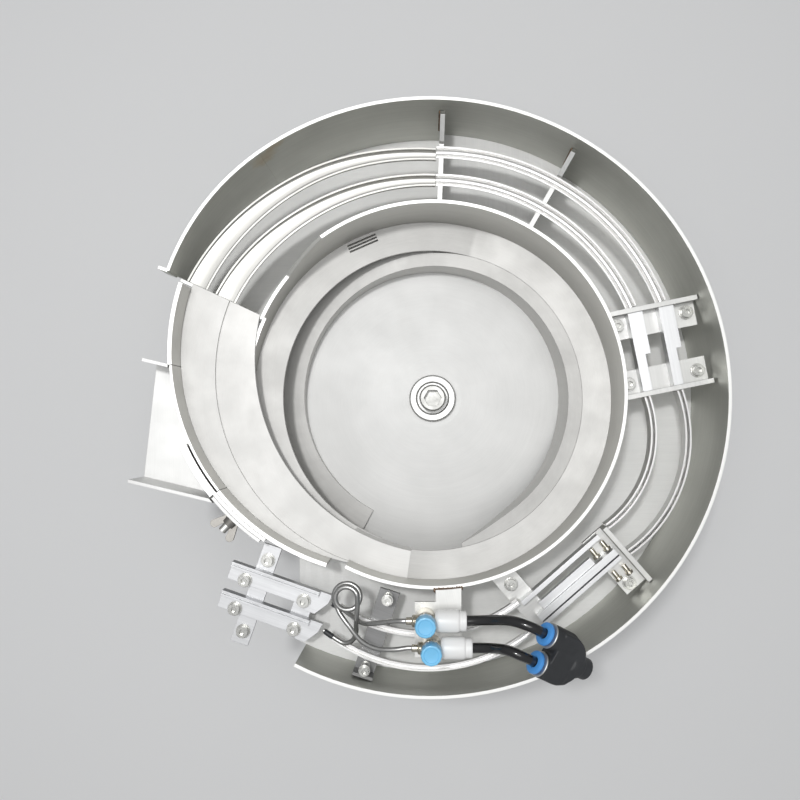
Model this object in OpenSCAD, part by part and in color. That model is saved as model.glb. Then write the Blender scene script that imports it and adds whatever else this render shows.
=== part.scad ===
// Vibratory bowl feeder: a spiral-track bowl with sorting rails, air jets and an
// outlet, on a leaf-spring drive. Millimetres, +Z up. The origin lies on the bowl's
// axis, on the floor that the rubber feet stand on.

/* [Drive unit] */
// Height of the rubber feet
foot_h = 18; // [12:1:25]
// Diameter of the rubber feet
foot_d = 32; // [26:1:38]
// Number of feet, and of leaf-spring packs
packs = 3; // [3:1:4]
// Radius of the cast base
base_r = 98; // [92:1:104]
// Thickness of the cast base
base_h = 22; // [18:1:28]
// Clear height between the base and the top plate
drive_gap = 78; // [70:1:90]
// Radius of the top plate
top_plate_r = 88; // [84:1:94]
// Thickness of the top plate
top_plate_t = 12; // [9:1:16]
// Radius at which the leaf springs stand
spring_r = 72; // [68:1:76]
// Width of each leaf spring
spring_w = 26; // [20:1:30]
// Thickness of one leaf
leaf_t = 3; // [2:0.5:4]
// Lean of the springs from the vertical
spring_lean = 15; // [10:1:18]
// Height of the blocks that the springs are clamped to
block_h = 26; // [24:1:28]
// Air gap between the magnet and its armature
magnet_gap = 1.2; // [0.8:0.1:2]

/* [Bowl] */
// Outer radius of the bowl wall
bowl_r = 117; // [112:1:121]
// Thickness of the stainless sheet
sheet = 2; // [1.5:0.25:2.5]
// Depth from the rim to the edge of the bowl's floor
bowl_depth = 85; // [80:1:95]
// Rise of the conical floor from its edge to its centre
floor_rise = 10; // [6:1:14]
// Thickness of the plate that the bowl stands on
bowl_plate_t = 3; // [2:0.5:5]
// Diameter of the clamping washer in the middle of the bowl
washer_d = 32; // [30:1:40]
// Thickness of the clamping washer
washer_t = 4; // [3:0.5:6]
// Diameter of the centre bolt
bolt_d = 12; // [10:1:14]

/* [Spiral track] */
// Width of the track
track_w = 27; // [24:1:30]
// Angle at which the track leaves the floor
track_start = 242; // [236:1:246]
// Width of the upper band, next to the wall
band_w = 18; // [16:0.5:20]
// Depth below the rim of the upper band where it begins
band_start_depth = 38; // [34:1:42]
// How much lower the inner edge of the upper band is
band_bank = 3; // [0:0.5:4]

/* [Exit lanes] */
// Depth of the exit lanes below the rim
lane_depth = 20; // [17:1:24]
// How much larger the radius of the exit wall's arc is than the bowl's
exit_gap = 15; // [13:1:17]
// Thickness of the exit wall
exit_t = 2.5; // [2:0.25:3]
// How far the exit wall hangs below the lanes
exit_hang = 14; // [8:1:20]
// Angle at which the lanes end and the rails begin
lane_end = 155; // [152:1:158]

/* [Guard and pan] */
// Width of the channel between the bowl and the guard wall's outside
channel_w = 64; // [61:1:69]
// Depth of the return pan below the rim
pan_depth = 72; // [66:1:78]
// Height that the pan climbs towards its outlet end
pan_climb = 28; // [20:1:32]
// Depth of the raised pan section between the ribs
bridge_depth = 60; // [56:1:64]
// Thickness of the ribs
rib_t = 3; // [2:0.5:4]

/* [Rails] */
// Depth of the rails' upper edges below the rim
rail_depth = 22; // [20:1:26]
// Distance of the inner rail from the bowl wall, over the ribs
inner_rail_gap = 18.3; // [16:0.1:20]
// Distance of the outer rail from the bowl wall, over the ribs
outer_rail_gap = 35.5; // [34:0.1:37]
// Width of the round troughs over the ribs
trough_w = 7.5; // [6:0.5:8]
// Thickness of the rails' sheet
rail_t = 1.2; // [0.8:0.1:1.6]
// Width of the straight sorting bars
bar_w = 6; // [5:0.5:7]
// Height of the straight sorting bars
bar_h = 8; // [6:0.5:10]
// Width of each outlet bar
outlet_w = 11.5; // [10:0.5:13]
// Distance between the outlet bars' centre lines
outlet_pitch = 18.8; // [17:0.1:20]
// Length of the outlet bars
outlet_len = 58; // [50:1:64]

/* [Air parts] */
// Outer diameter of the air tubes
tube_d = 6; // [4:0.5:6]
// Diameter of the valves' adjusting knobs
knob_d = 12.6; // [11:0.2:14]
// Distance between the two valves
valve_pitch = 16.2; // [15:0.2:18]
// Outer diameter of the fittings' barrels
barrel_d = 13; // [11:0.5:14]
// Outer diameter of the metal air pipes
pipe_d = 3; // [2:0.5:4]

/* [Fasteners] */
// Diameter of the small screws
screw_d = 4; // [3:0.5:5]
// Thickness of the brackets and straps
strap_t = 3; // [2:0.5:4]

/* [Hidden] */

$fn = 96;
eps = 0.01;
seat = 0.05; // clearance at a welded or seated edge

// heights
base_top = foot_h + base_h;
plate_z = base_top + drive_gap;
bowl_z = plate_z + top_plate_t;
floor_z = bowl_z + bowl_plate_t + sheet;
rim_z = floor_z + bowl_depth;
lane_z = rim_z - lane_depth;
rail_z = rim_z - rail_depth;
pan_z = rim_z - pan_depth;
bridge_z = rim_z - bridge_depth;

// bowl radii
wall_in = bowl_r - sheet;
track_in = wall_in - track_w;
band_in = wall_in - band_w;
track_edge = wall_in - seat;

// radii around the bowl
guard_r = bowl_r + channel_w;
inner_rail_r = bowl_r + inner_rail_gap;
outer_rail_r = bowl_r + outer_rail_gap;

// colours
steel = "#c9cbcc";
bright = "#dcdedf";
dark_metal = "#8d9092";
casting = "#5c6368";

// ---- helpers ----------------------------------------------------------------

function clamp01(x) = min(1, max(0, x));
function mix(a, b, s) = a + (b - a) * s;
function on_circle(r, a) = [r * cos(a), r * sin(a)];

// distance from the bowl axis to a circle of radius r about c, in direction a
function reach(a, c, r) =
    let (d = c[0] * cos(a) + c[1] * sin(a))
    d + sqrt(r * r - c[0] * c[0] - c[1] * c[1] + d * d);

// height of the bowl floor at radius r
function floor_at(r) = floor_z + floor_rise * (1 - r / wall_in);

// solid through a list of closed sections with the same number of points
module loft(sections) {
    n = len(sections[0]);
    last = len(sections) - 1;
    points = [for (s = sections) for (p = s) p];
    sides = [for (i = [0 : last - 1]) for (j = [0 : n - 1])
        let (a = i * n + j, b = i * n + (j + 1) % n)
        each [[a, b, b + n], [a, b + n, a + n]]];
    first_cap = [for (j = [n - 1 : -1 : 0]) j];
    last_cap = [for (j = [0 : n - 1]) last * n + j];
    polyhedron(points, concat([first_cap], sides, [last_cap]), convexity = 8);
}

// sweep about the bowl axis; ring(a) gives the section's [radius, height] points
module swept(a0, a1, steps, ring) {
    loft([for (i = [0 : steps])
        let (a = mix(a0, a1, i / steps))
        [for (p = ring(a)) [p[0] * cos(a), p[0] * sin(a), p[1]]]]);
}

// flat strip section from r0 to r1 with top heights z0 and z1
function strip_section(r0, r1, z0, z1, t) =
    [[r0, z0 - t], [r1, z1 - t], [r1, z1], [r0, z0]];

// open channel section: width w about radius r, depth h below the top z
function channel_section(r, w, z, h, t) = [
    [r - w / 2, z - h], [r + w / 2, z - h], [r + w / 2, z],
    [r + w / 2 - t, z], [r + w / 2 - t, z - h + t], [r - w / 2 + t, z - h + t],
    [r - w / 2 + t, z], [r - w / 2, z]];

// ring of rectangular section between two angles
module arc_bar(r0, r1, a0, a1, z0, z1) {
    rotate([0, 0, a0])
        rotate_extrude(angle = a1 - a0)
            translate([r0, z0])
                square([r1 - r0, z1 - z0]);
}

// centre of the circle through three points
function circle_centre(p, q, s) =
    let (d = 2 * (p[0] * (q[1] - s[1]) + q[0] * (s[1] - p[1]) + s[0] * (p[1] - q[1])),
        pp = p * p, qq = q * q, ss = s * s)
    [(pp * (q[1] - s[1]) + qq * (s[1] - p[1]) + ss * (p[1] - q[1])) / d,
        (pp * (s[0] - q[0]) + qq * (p[0] - s[0]) + ss * (q[0] - p[0])) / d];

// bends its 2-D children along the arc from p through q to s, anticlockwise
module bent_through(p, q, s) {
    c = circle_centre(p, q, s);
    a0 = atan2(p[1] - c[1], p[0] - c[0]);
    a1 = atan2(s[1] - c[1], s[0] - c[0]);
    translate([c[0], c[1], 0])
        rotate([0, 0, a0])
            rotate_extrude(angle = a1 - a0, $fn = 180)
                translate([norm(p - c), 0])
                    children();
}

// flat pie slice between two angles, wide enough for the whole feeder
module slice(a0, a1, r = 260) {
    steps = ceil((a1 - a0) / 30);
    polygon(concat([[0, 0]],
        [for (i = [0 : steps]) on_circle(r, mix(a0, a1, i / steps))]));
}

// places its children at radius r and angle a: +X outwards, +Y along the ring
module at(r, a, z = 0) {
    rotate([0, 0, a])
        translate([r, 0, z])
            children();
}

// Catmull-Rom curve through hand-chosen points
function spline_point(p0, p1, p2, p3, s) =
    0.5 * (2 * p1 + (p2 - p0) * s + (2 * p0 - 5 * p1 + 4 * p2 - p3) * s * s
        + (3 * p1 - p0 - 3 * p2 + p3) * s * s * s);
function smooth(p, k) = let (n = len(p) - 1) concat(
    [for (i = [0 : n - 1]) for (j = [0 : k - 1])
        spline_point(p[max(i - 1, 0)], p[i], p[i + 1], p[min(i + 2, n)], j / k)],
    [p[n]]);
function unit(v) = v / norm(v);

// round tube along a path that is never vertical
module tube(path, d, sides = 8) {
    n = len(path) - 1;
    loft([for (i = [0 : n])
        let (t = unit(path[min(i + 1, n)] - path[max(i - 1, 0)]),
            u = unit(cross(t, [0, 0, 1])), v = cross(u, t))
        [for (k = [0 : sides - 1])
            path[i] + d / 2 * (cos(360 * k / sides) * u + sin(360 * k / sides) * v)]]);
}

// value of a smooth curve through [angle, value] points at angle a
function curve_at(points, a) =
    let (i = max([for (k = [0 : len(points) - 2]) points[k][0] <= a ? k : 0]),
        n = len(points) - 1,
        s = (a - points[i][0]) / (points[i + 1][0] - points[i][0]))
    spline_point(points[max(i - 1, 0)][1], points[i][1], points[i + 1][1],
        points[min(i + 2, n)][1], s);

// ---- fasteners --------------------------------------------------------------

screw_washer_t = screw_d * 0.2;

// socket-head screw with its washer on z = 0 and its shank going down by len
module socket_screw(len, d = screw_d) {
    washer_t = 0.2 * d;
    difference() {
        translate([0, 0, washer_t])
            cylinder(d = 1.75 * d, h = d, $fn = 32);
        translate([0, 0, washer_t + 0.45 * d])
            cylinder(d = 0.9 * d, h = d, $fn = 6);
    }
    cylinder(d = 2.25 * d, h = washer_t, $fn = 32);
    translate([0, 0, -len])
        cylinder(d = d, h = len + eps, $fn = 24);
}

// clearance hole for that screw, from z = -len up to z = over
module screw_hole(len, d = screw_d, over = 1) {
    translate([0, 0, -len])
        cylinder(d = d + 2 * seat, h = len + over, $fn = 24);
}

// ---- drive unit -------------------------------------------------------------

foot_a = 90;
foot_ring_r = base_r - foot_d / 2 - 4;
foot_screw_d = 8;
insert_d = foot_d - 6;
insert_t = 2;
boss_d = 12;
boss_h = foot_h / 2 - 1;
foot_hole_d = 6;
base_chamfer = 3;

module at_feet() {
    for (i = [0 : packs - 1])
        at(foot_ring_r, foot_a + i * 360 / packs)
            children();
}

module rubber_feet() {
    color("#262626") at_feet()
        difference() {
            rotate_extrude()
                polygon([[0, 0], [foot_d / 2 - 1, 0], [foot_d / 2, 1],
                    [foot_d / 2 - 2, foot_h / 2], [foot_d / 2, foot_h - 1],
                    [foot_d / 2 - 1, foot_h], [0, foot_h]]);
            translate([0, 0, -1])
                cylinder(d = insert_d + 2 * seat, h = insert_t + seat + 1);
            cylinder(d = boss_d + 2 * seat, h = boss_h + seat, $fn = 48);
            translate([0, 0, foot_h - insert_t - seat])
                cylinder(d = insert_d + 2 * seat, h = insert_t + 1);
        }
}

// steel inserts: a tapped one under each foot and a stud up into the base
module foot_inserts() {
    color(dark_metal) at_feet() {
        difference() {
            union() {
                cylinder(d = insert_d, h = insert_t);
                cylinder(d = boss_d, h = boss_h, $fn = 48);
            }
            translate([0, 0, -1])
                cylinder(d = foot_hole_d, h = boss_h, $fn = 48);
        }
        translate([0, 0, foot_h - insert_t])
            cylinder(d = insert_d, h = insert_t - seat);
        translate([0, 0, foot_h - insert_t])
            cylinder(d = foot_screw_d, h = insert_t + base_h / 2, $fn = 48);
    }
}

// frame of one spring pack: +X outwards, +Z along the leaning spring
spring_mid_z = base_top + drive_gap / 2;
spring_a = 30;
stack_t = 3 * leaf_t;
spring_half = (drive_gap / 2 - 2.5) / cos(spring_lean) - stack_t * tan(spring_lean);
clamp_z = (drive_gap - block_h) / 2 / cos(spring_lean);
clamp_h = block_h - 8;
clamp_t = 6;
spring_screw_d = 6;
block_t = 16;

module at_springs() {
    for (i = [0 : packs - 1])
        at(spring_r, spring_a + i * 360 / packs, spring_mid_z)
            rotate([spring_lean, 0, 0])
                children();
}

// side = -1 for the lower ends, 1 for the upper ends
module spring_screw_spots(side) {
    at_springs()
        for (x = [-1, 1])
            translate([x * spring_w / 4, -side * (stack_t / 2 + clamp_t), side * clamp_z])
                rotate([side * 90, 0, 0])
                    children();
}
spring_screw_len = clamp_t + stack_t + block_t * 0.7;

module spring_blocks(side) {
    z0 = side < 0 ? base_top - 1 : plate_z - block_h;
    for (i = [0 : packs - 1])
        rotate([0, 0, spring_a + i * 360 / packs])
            intersection() {
                translate([spring_r, 0, spring_mid_z])
                    rotate([spring_lean, 0, 0])
                        translate([-spring_w / 2, side * (stack_t / 2 + block_t / 2)
                            - block_t / 2, -drive_gap])
                            cube([spring_w, block_t, 2 * drive_gap]);
                translate([spring_r - spring_w, -drive_gap, z0])
                    cube([2 * spring_w, 2 * drive_gap, block_h + 1]);
            }
}

module spring_clamps(side) {
    color(dark_metal) difference() {
        at_springs() {
            translate([0, -side * (stack_t / 2 + clamp_t / 2), side * clamp_z])
                cube([spring_w, clamp_t, clamp_h], center = true);
            translate([0, 0, side * clamp_z])
                cube([spring_w, leaf_t, clamp_h], center = true);
        }
        spring_screw_spots(side)
            screw_hole(spring_screw_len, spring_screw_d);
    }
}

module lower_spring_clamps() spring_clamps(-1);
module upper_spring_clamps() spring_clamps(1);

module spring_screws(side) {
    color(steel) spring_screw_spots(side)
        socket_screw(spring_screw_len, spring_screw_d);
}

module lower_spring_screws() spring_screws(-1);
module upper_spring_screws() spring_screws(1);

module leaf_springs() {
    color("#c8b46a") difference() {
        at_springs()
            for (y = [-leaf_t, leaf_t])
                translate([0, y, 0])
                    cube([spring_w, leaf_t, 2 * spring_half], center = true);
        for (side = [-1, 1])
            spring_screw_spots(side)
                screw_hole(spring_screw_len, spring_screw_d);
    }
}

gland_a = 40;
gland_d = 12;
gland_z = foot_h + base_h / 2;

module at_gland() {
    rotate([0, 0, gland_a])
        translate([base_r, 0, gland_z])
            rotate([0, 90, 0])
                children();
}

module drive_base() {
    color(casting) difference() {
        union() {
            rotate_extrude()
                polygon([[0, foot_h], [base_r - base_chamfer, foot_h],
                    [base_r, foot_h + base_chamfer],
                    [base_r, base_top - base_chamfer],
                    [base_r - base_chamfer, base_top], [0, base_top]]);
            spring_blocks(-1);
        }
        at_feet()
            translate([0, 0, foot_h - 1])
                cylinder(d = foot_screw_d + 2 * seat, h = base_h / 2 + 2, $fn = 32);
        spring_screw_spots(-1)
            screw_hole(spring_screw_len + 1, spring_screw_d);
        at_gland()
            translate([0, 0, -15])
                cylinder(d = gland_d + 2 * seat, h = 20, $fn = 32);
    }
}

module cable_gland() {
    color("#3a3d40") at_gland()
        difference() {
            union() {
                translate([0, 0, -14])
                    cylinder(d = gland_d, h = 15, $fn = 32);
                translate([0, 0, seat])
                    cylinder(d = 18, h = 5, $fn = 6);
                translate([0, 0, 5])
                    cylinder(d1 = 16, d2 = 12, h = 12, $fn = 32);
            }
            translate([0, 0, -15])
                cylinder(d = 7, h = 34, $fn = 24);
        }
}

core_w = 62;
core_t = 32;
core_h = 44;
leg_w = 10;
centre_leg_w = 18;
yoke_h = 12;
coil_gap = 0.5;

module magnet_core() {
    color("#6f7376")
        translate([0, core_t / 2, base_top])
            rotate([90, 0, 0])
                linear_extrude(core_t)
                    difference() {
                        translate([-core_w / 2, 0])
                            square([core_w, core_h]);
                        for (side = [-1, 1])
                            translate([side * (centre_leg_w + core_w - 2 * leg_w) / 4
                                - (core_w - 2 * leg_w - centre_leg_w) / 4, yoke_h])
                                square([(core_w - 2 * leg_w - centre_leg_w) / 2, core_h]);
                    }
}

module magnet_coil() {
    window = (core_w - 2 * leg_w - centre_leg_w) / 2;
    winding = window - 2 * coil_gap;
    color("#a4552a")
        translate([0, 0, base_top + yoke_h])
            linear_extrude(core_h - yoke_h - 2)
                difference() {
                    offset(winding)
                        square([centre_leg_w + 2 * coil_gap, core_t + 2 * coil_gap],
                            center = true);
                    square([centre_leg_w + coil_gap, core_t + coil_gap], center = true);
                }
}

module armature() {
    bottom = base_top + core_h + magnet_gap;
    color(dark_metal)
        translate([0, core_t / 2, 0])
            rotate([90, 0, 0])
                linear_extrude(core_t)
                    polygon([[-core_w / 2, bottom], [core_w / 2, bottom],
                        [core_w / 2, bottom + 12], [core_w / 3, plate_z],
                        [-core_w / 3, plate_z], [-core_w / 2, bottom + 12]]);
}

module top_plate() {
    color(casting) difference() {
        union() {
            rotate_extrude()
                polygon([[0, plate_z], [top_plate_r - 2, plate_z],
                    [top_plate_r, plate_z + 2], [top_plate_r, bowl_z - 2],
                    [top_plate_r - 2, bowl_z], [0, bowl_z]]);
            spring_blocks(1);
        }
        translate([0, 0, plate_z + 2])
            cylinder(d = bolt_d + 2 * seat, h = top_plate_t, $fn = 48);
        spring_screw_spots(1)
            screw_hole(spring_screw_len + 1, spring_screw_d);
    }
}

// ---- bowl -------------------------------------------------------------------

hub_r = 20;
hub_z = floor_at(hub_r);
plate_margin = 12;
head_d = 1.5 * bolt_d;
washer_recess_d = head_d + 5;

module bolt_bore(z0, z1) {
    translate([0, 0, z0])
        cylinder(d = bolt_d + 2 * seat, h = z1 - z0, $fn = 48);
}

module bowl_plate() {
    color(steel) difference() {
        union() {
            translate([0, 0, bowl_z])
                cylinder(r = wall_in - plate_margin, h = bowl_plate_t);
            translate([0, 0, bowl_z])
                cylinder(r = hub_r - 2, h = hub_z - sheet - bowl_z, $fn = 64);
        }
        bolt_bore(bowl_z - 1, hub_z);
    }
}

module bowl_floor() {
    hole_r = bolt_d / 2 + seat;
    color(bright) rotate_extrude($fn = 128)
        polygon([[hole_r, hub_z - sheet], [hub_r, hub_z - sheet],
            [wall_in - seat, floor_z - sheet], [wall_in - seat, floor_z],
            [hub_r, hub_z], [hole_r, hub_z]]);
}

module center_washer() {
    recess = washer_t * 0.5;
    color(bright) rotate_extrude()
        polygon([[bolt_d / 2 + seat, hub_z], [washer_d / 2, hub_z],
            [washer_d / 2, hub_z + washer_t - 1], [washer_d / 2 - 1, hub_z + washer_t],
            [washer_recess_d / 2, hub_z + washer_t],
            [washer_recess_d / 2 - 1, hub_z + washer_t - recess],
            [bolt_d / 2 + seat, hub_z + washer_t - recess]]);
}

module center_bolt() {
    head_z = hub_z + washer_t * 0.5;
    color(steel) difference() {
        union() {
            translate([0, 0, plate_z + 3])
                cylinder(d = bolt_d, h = head_z - plate_z - 3 + eps, $fn = 48);
            translate([0, 0, head_z])
                cylinder(d = head_d, h = bolt_d * 0.9, $fn = 48);
            translate([0, 0, head_z + bolt_d * 0.9 - eps])
                cylinder(d1 = head_d, d2 = head_d - 2, h = 1, $fn = 48);
        }
        translate([0, 0, head_z + bolt_d * 0.4])
            cylinder(d = bolt_d, h = bolt_d, $fn = 6);
    }
}

// the rim is full height between these angles, cut down beside the rails and
// carries the exit lanes beyond
rim_cut_a = 125;
rim_low_a = 140;
rim_cut_depth = 15;
lane_split = 243;
lane_start = 262;

module bowl_wall() {
    bottom = floor_z - sheet;
    slope_w = 2 * bowl_r * sin((rim_low_a - rim_cut_a) / 2);
    color(steel) difference() {
        translate([0, 0, bottom])
            difference() {
                cylinder(r = bowl_r, h = rim_z - bottom, $fn = 180);
                translate([0, 0, -1])
                    cylinder(r = wall_in, h = rim_z - bottom + 2, $fn = 180);
            }
        translate([0, 0, rim_z - rim_cut_depth])
            linear_extrude(rim_cut_depth + 1)
                slice(rim_low_a + 0.5, lane_end + 1);
        translate([0, 0, lane_z - sheet])
            linear_extrude(lane_depth + sheet + 1)
                slice(lane_end, lane_split);
        rotate([0, 0, (rim_cut_a + rim_low_a) / 2])
            translate([0, slope_w / 2, rim_z - rim_cut_depth + 0.5])
                rotate([-atan2(rim_cut_depth, slope_w), 0, 0])
                    translate([bowl_r - 10, -2 * slope_w, 0])
                        cube([20, 2 * slope_w + 1.5, 2 * rim_cut_depth]);
    }
}

// ---- spiral track -----------------------------------------------------------

track_turn = track_start + 360 - lane_start;
skirt_gap = 0.45;
track_z0 = floor_at(track_in) + skirt_gap + sheet;
climb_power = 1.2;

// height of the track's inner edge, turned by t degrees from its start
function track_top(t) = mix(track_z0, lane_z, pow(t / track_turn, climb_power));

covered_a = 90; // the band covers the track between this angle and the start
tip_a = 281 - 360;
skirt_rise_a = 0;
tip_taper = 26;
tip_shift = 6.5;

function track_inner(a) =
    track_in + tip_shift * pow(clamp01((tip_a + tip_taper - a) / tip_taper), 2);
function skirt_bottom(a) =
    let (low = floor_at(track_in) + seat,
        high = track_top(track_start - tip_a) - sheet - skirt_gap)
    mix(low, high, pow(clamp01((skirt_rise_a - a) / (skirt_rise_a - tip_a)), 2));

function track_section(a, r_out) =
    let (z = track_top(track_start - a), r = track_inner(a), low = skirt_bottom(a))
    [for (p = [[r, low], [r + rail_t, low], [r + rail_t, z - sheet], [r_out, z - sheet],
        [r_out, z], [r, z]]) [p[0] * cos(a), p[0] * sin(a), p[1]]];

module spiral_track() {
    step = 4;
    color(bright) loft(concat(
        [for (a = [tip_a : step : covered_a - 0.1]) track_section(a, band_in - seat)],
        [track_section(covered_a, band_in - seat)],
        [for (a = [covered_a + 0.05 : step : track_start - 0.1])
            track_section(a, track_edge)],
        [track_section(track_start, track_edge)]));
}

band_start = 250;
band_join = 75; // below this angle the band and the track are one ramp
band_power = 2.2;

function band_inner_top(a) =
    let (join = track_top(track_start - band_join))
    a < band_join ? track_top(track_start - a)
    : mix(rim_z - band_start_depth, join,
        pow((band_start - a) / (band_start - band_join), band_power));
function band_outer_top(a) =
    band_inner_top(a) + band_bank * clamp01((a - lane_start + 360) / 25);

slot_a = 114.5;
slot_len = 20;
slot_w = 5;
slot_bar_w = 0.9;

module upper_track() {
    slit = (slot_w - 2 * slot_bar_w) / 3;
    color(bright) difference() {
        swept(lane_start - 360, band_start, 87, function (a)
            strip_section(band_in, track_edge, band_inner_top(a), band_outer_top(a),
                sheet));
        for (i = [0 : 2])
            at(wall_in - 2 - slot_w + i * (slit + slot_bar_w), slot_a, floor_z)
                translate([0, -slot_len / 2, 0])
                    cube([slit, slot_len, bowl_depth]);
    }
}

// ---- exit lanes -------------------------------------------------------------

inner_lane_c = [10.4, 22.2];
inner_lane_r = bowl_r + 4.6;
divider_c = [-13, 13];
divider_r = bowl_r + 5.5;
exit_c = [-25, 25];
exit_r = bowl_r + exit_gap;
lane_lap = 2;
lip_h = 14;
lip_start = 240;
outer_lane_t = 1.5;

module disc_at(c, r) {
    translate(c)
        circle(r = r, $fn = 180);
}

module inner_lane() {
    color(bright) {
        translate([0, 0, lane_z - sheet])
            linear_extrude(sheet)
                difference() {
                    union() {
                        intersection() {
                            disc_at(divider_c, divider_r + lane_lap);
                            disc_at(exit_c, exit_r - seat);
                            slice(lane_end, lane_split);
                        }
                        intersection() {
                            circle(r = track_edge, $fn = 180);
                            slice(lane_split - 1, lane_start);
                        }
                    }
                    disc_at(inner_lane_c, inner_lane_r);
                }
        translate([0, 0, lane_z - sheet - lip_h])
            linear_extrude(lip_h + eps)
                intersection() {
                    difference() {
                        disc_at(inner_lane_c, inner_lane_r + rail_t);
                        disc_at(inner_lane_c, inner_lane_r);
                    }
                    slice(lip_start, lane_start);
                }
    }
}

module outer_lane() {
    color(bright)
        translate([0, 0, lane_z])
            linear_extrude(outer_lane_t)
                intersection() {
                    difference() {
                        disc_at(exit_c, exit_r - seat);
                        disc_at(divider_c, divider_r);
                    }
                    slice(lane_end, lane_split);
                }
}

// angles of the exit wall's ends and seams about its own centre
exit_a0 = 161.6;
exit_a1 = 183.2;
exit_a2 = 218.5;
exit_a3 = 253;
seam = 0.15;
exit_bottom = lane_z - exit_hang;
stud_a = 226;
stud_d = 5;
stud_z = rim_z - 12;
stud_len = 16;

module exit_wall(a0, a1, t, bottom = exit_bottom) {
    translate(exit_c)
        arc_bar(exit_r, exit_r + t, a0, a1, bottom, rim_z, $fn = 180);
}

module rear_exit_wall() color(steel) exit_wall(exit_a0, exit_a1 - seam, exit_t);
module middle_exit_wall() color(steel) exit_wall(exit_a1, exit_a2, exit_t * 0.6);

module at_stud() {
    translate([exit_c[0], exit_c[1], stud_z])
        rotate([0, 0, stud_a])
            translate([exit_r + exit_t, 0, 0])
                rotate([0, 90, 0])
                    children();
}

module front_exit_wall() {
    color(steel) {
        exit_wall(exit_a2 + seam, exit_a3, exit_t);
        at_stud()
            translate([0, 0, -0.5])
                cylinder(d = stud_d, h = stud_len + 0.5, $fn = 32);
    }
}

// ---- overflow chute, gate and wing nut --------------------------------------

gate_a0 = 204;
gate_shoulder_a = 218.5;
gate_a1 = 236;
gate_travel = 6;
gate_t = 2.2;
gate_head_t = 4.6;
gate_h = 22;
gate_top = rim_z;
clamp_bar_t = 2;
slide_gap = 0.2;

module gate_strip() {
    r0 = exit_r + exit_t + slide_gap;
    color(bright) difference() {
        translate(exit_c) {
            arc_bar(r0, r0 + gate_t, gate_a0, gate_a1, gate_top - gate_h, gate_top,
                $fn = 180);
            arc_bar(r0, r0 + gate_head_t, gate_a0, gate_shoulder_a,
                gate_top - gate_h, gate_top, $fn = 180);
        }
        translate(exit_c)
            arc_bar(r0 - 1, r0 + gate_t + 1, stud_a - 1.5, stud_a + gate_travel + 1.5,
                stud_z - stud_d / 2 - 0.3, stud_z + stud_d / 2 + 0.3, $fn = 180);
    }
}

clamp_bar_r = exit_r + exit_t + 2 * slide_gap + gate_t;

module gate_clamp() {
    color(steel) difference() {
        translate(exit_c)
            arc_bar(clamp_bar_r, clamp_bar_r + clamp_bar_t, gate_shoulder_a + 0.5,
                gate_a1 - 1, gate_top - gate_h, gate_top, $fn = 180);
        at_stud()
            cylinder(d = stud_d + 2 * seat, h = stud_len, $fn = 32);
    }
}

nut_hub_d = 9;
nut_hub_h = 6;
wing_reach = 14;
wing_spread = 9;
wing_t = 2.2;
nut_gap = 0.1;

module wing_nut() {
    base = clamp_bar_r + clamp_bar_t - exit_r - exit_t + 0.25;
    color(steel) at_stud()
        translate([0, 0, base])
            difference() {
                union() {
                    cylinder(d1 = nut_hub_d, d2 = nut_hub_d - 1.5, h = nut_hub_h, $fn = 32);
                    for (side = [-1, 1])
                        rotate([90, 0, 90])
                            linear_extrude(wing_t, center = true)
                                hull() {
                                    translate([side * nut_hub_d * 0.35, 1.5])
                                        circle(d = 2.4, $fn = 24);
                                    translate([side * nut_hub_d * 0.35, nut_hub_h - 1.2])
                                        circle(d = 2.4, $fn = 24);
                                    translate([side * (wing_spread - 2.5), wing_reach - 3])
                                        circle(d = 5, $fn = 24);
                                }
                }
                translate([0, 0, -1])
                    cylinder(d = stud_d + 2 * nut_gap, h = wing_reach + 2, $fn = 32);
            }
}

chute_depth = 28;
chute_z = rim_z - chute_depth;
// corners of the chute's floor about the exit wall's centre: distance beyond the
// wall's inside and angle, going round from the upper end
chute_corners = [for (k = [[-6.5, 185], [18.1, 181.9], [43.3, 205.7], [-0.5, 223.8]])
    exit_c + on_circle(exit_r + k[0], k[1])];

// outline of an upright flange along the floor's edge from p to q
module flange_outline(p, q) {
    d = unit(q - p);
    n = [-d[1], d[0]] * sheet;
    polygon([p, q, q + n, p + n]);
}

module overflow_chute() {
    outside = exit_r + exit_t + seat;
    color(steel) difference() {
        union() {
            translate([0, 0, chute_z - sheet])
                linear_extrude(sheet)
                    polygon(chute_corners);
            for (k = [0, 2])
                translate([0, 0, chute_z - sheet])
                    linear_extrude(chute_depth + sheet)
                        flange_outline(chute_corners[k + 1], chute_corners[k]);
        }
        translate([0, 0, chute_z - sheet - 1])
            linear_extrude(chute_depth + sheet + 2)
                disc_at(exit_c, outside);
        translate([0, 0, gate_top - gate_h - 1])
            linear_extrude(gate_h + 2)
                intersection() {
                    disc_at(exit_c, outside + gate_head_t + 1);
                    slice(lane_end + 35, lane_split);
                }
    }
}

// ---- guard wall, pan and ribs -----------------------------------------------

guard_c = [-1.5, -2];
guard_tail_a = 125;
guard_tail_r = 150;
guard_tail_end = 160;
guard_end = 243 - 360;
guard_tail_c = guard_c + on_circle(guard_r - guard_tail_r, guard_tail_a);
guard_in = guard_r - sheet - seat;
pan_low_a = -30;
lip_len = 5;
guard_seam = 0.03; // the two bent parts meet in a seam

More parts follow.
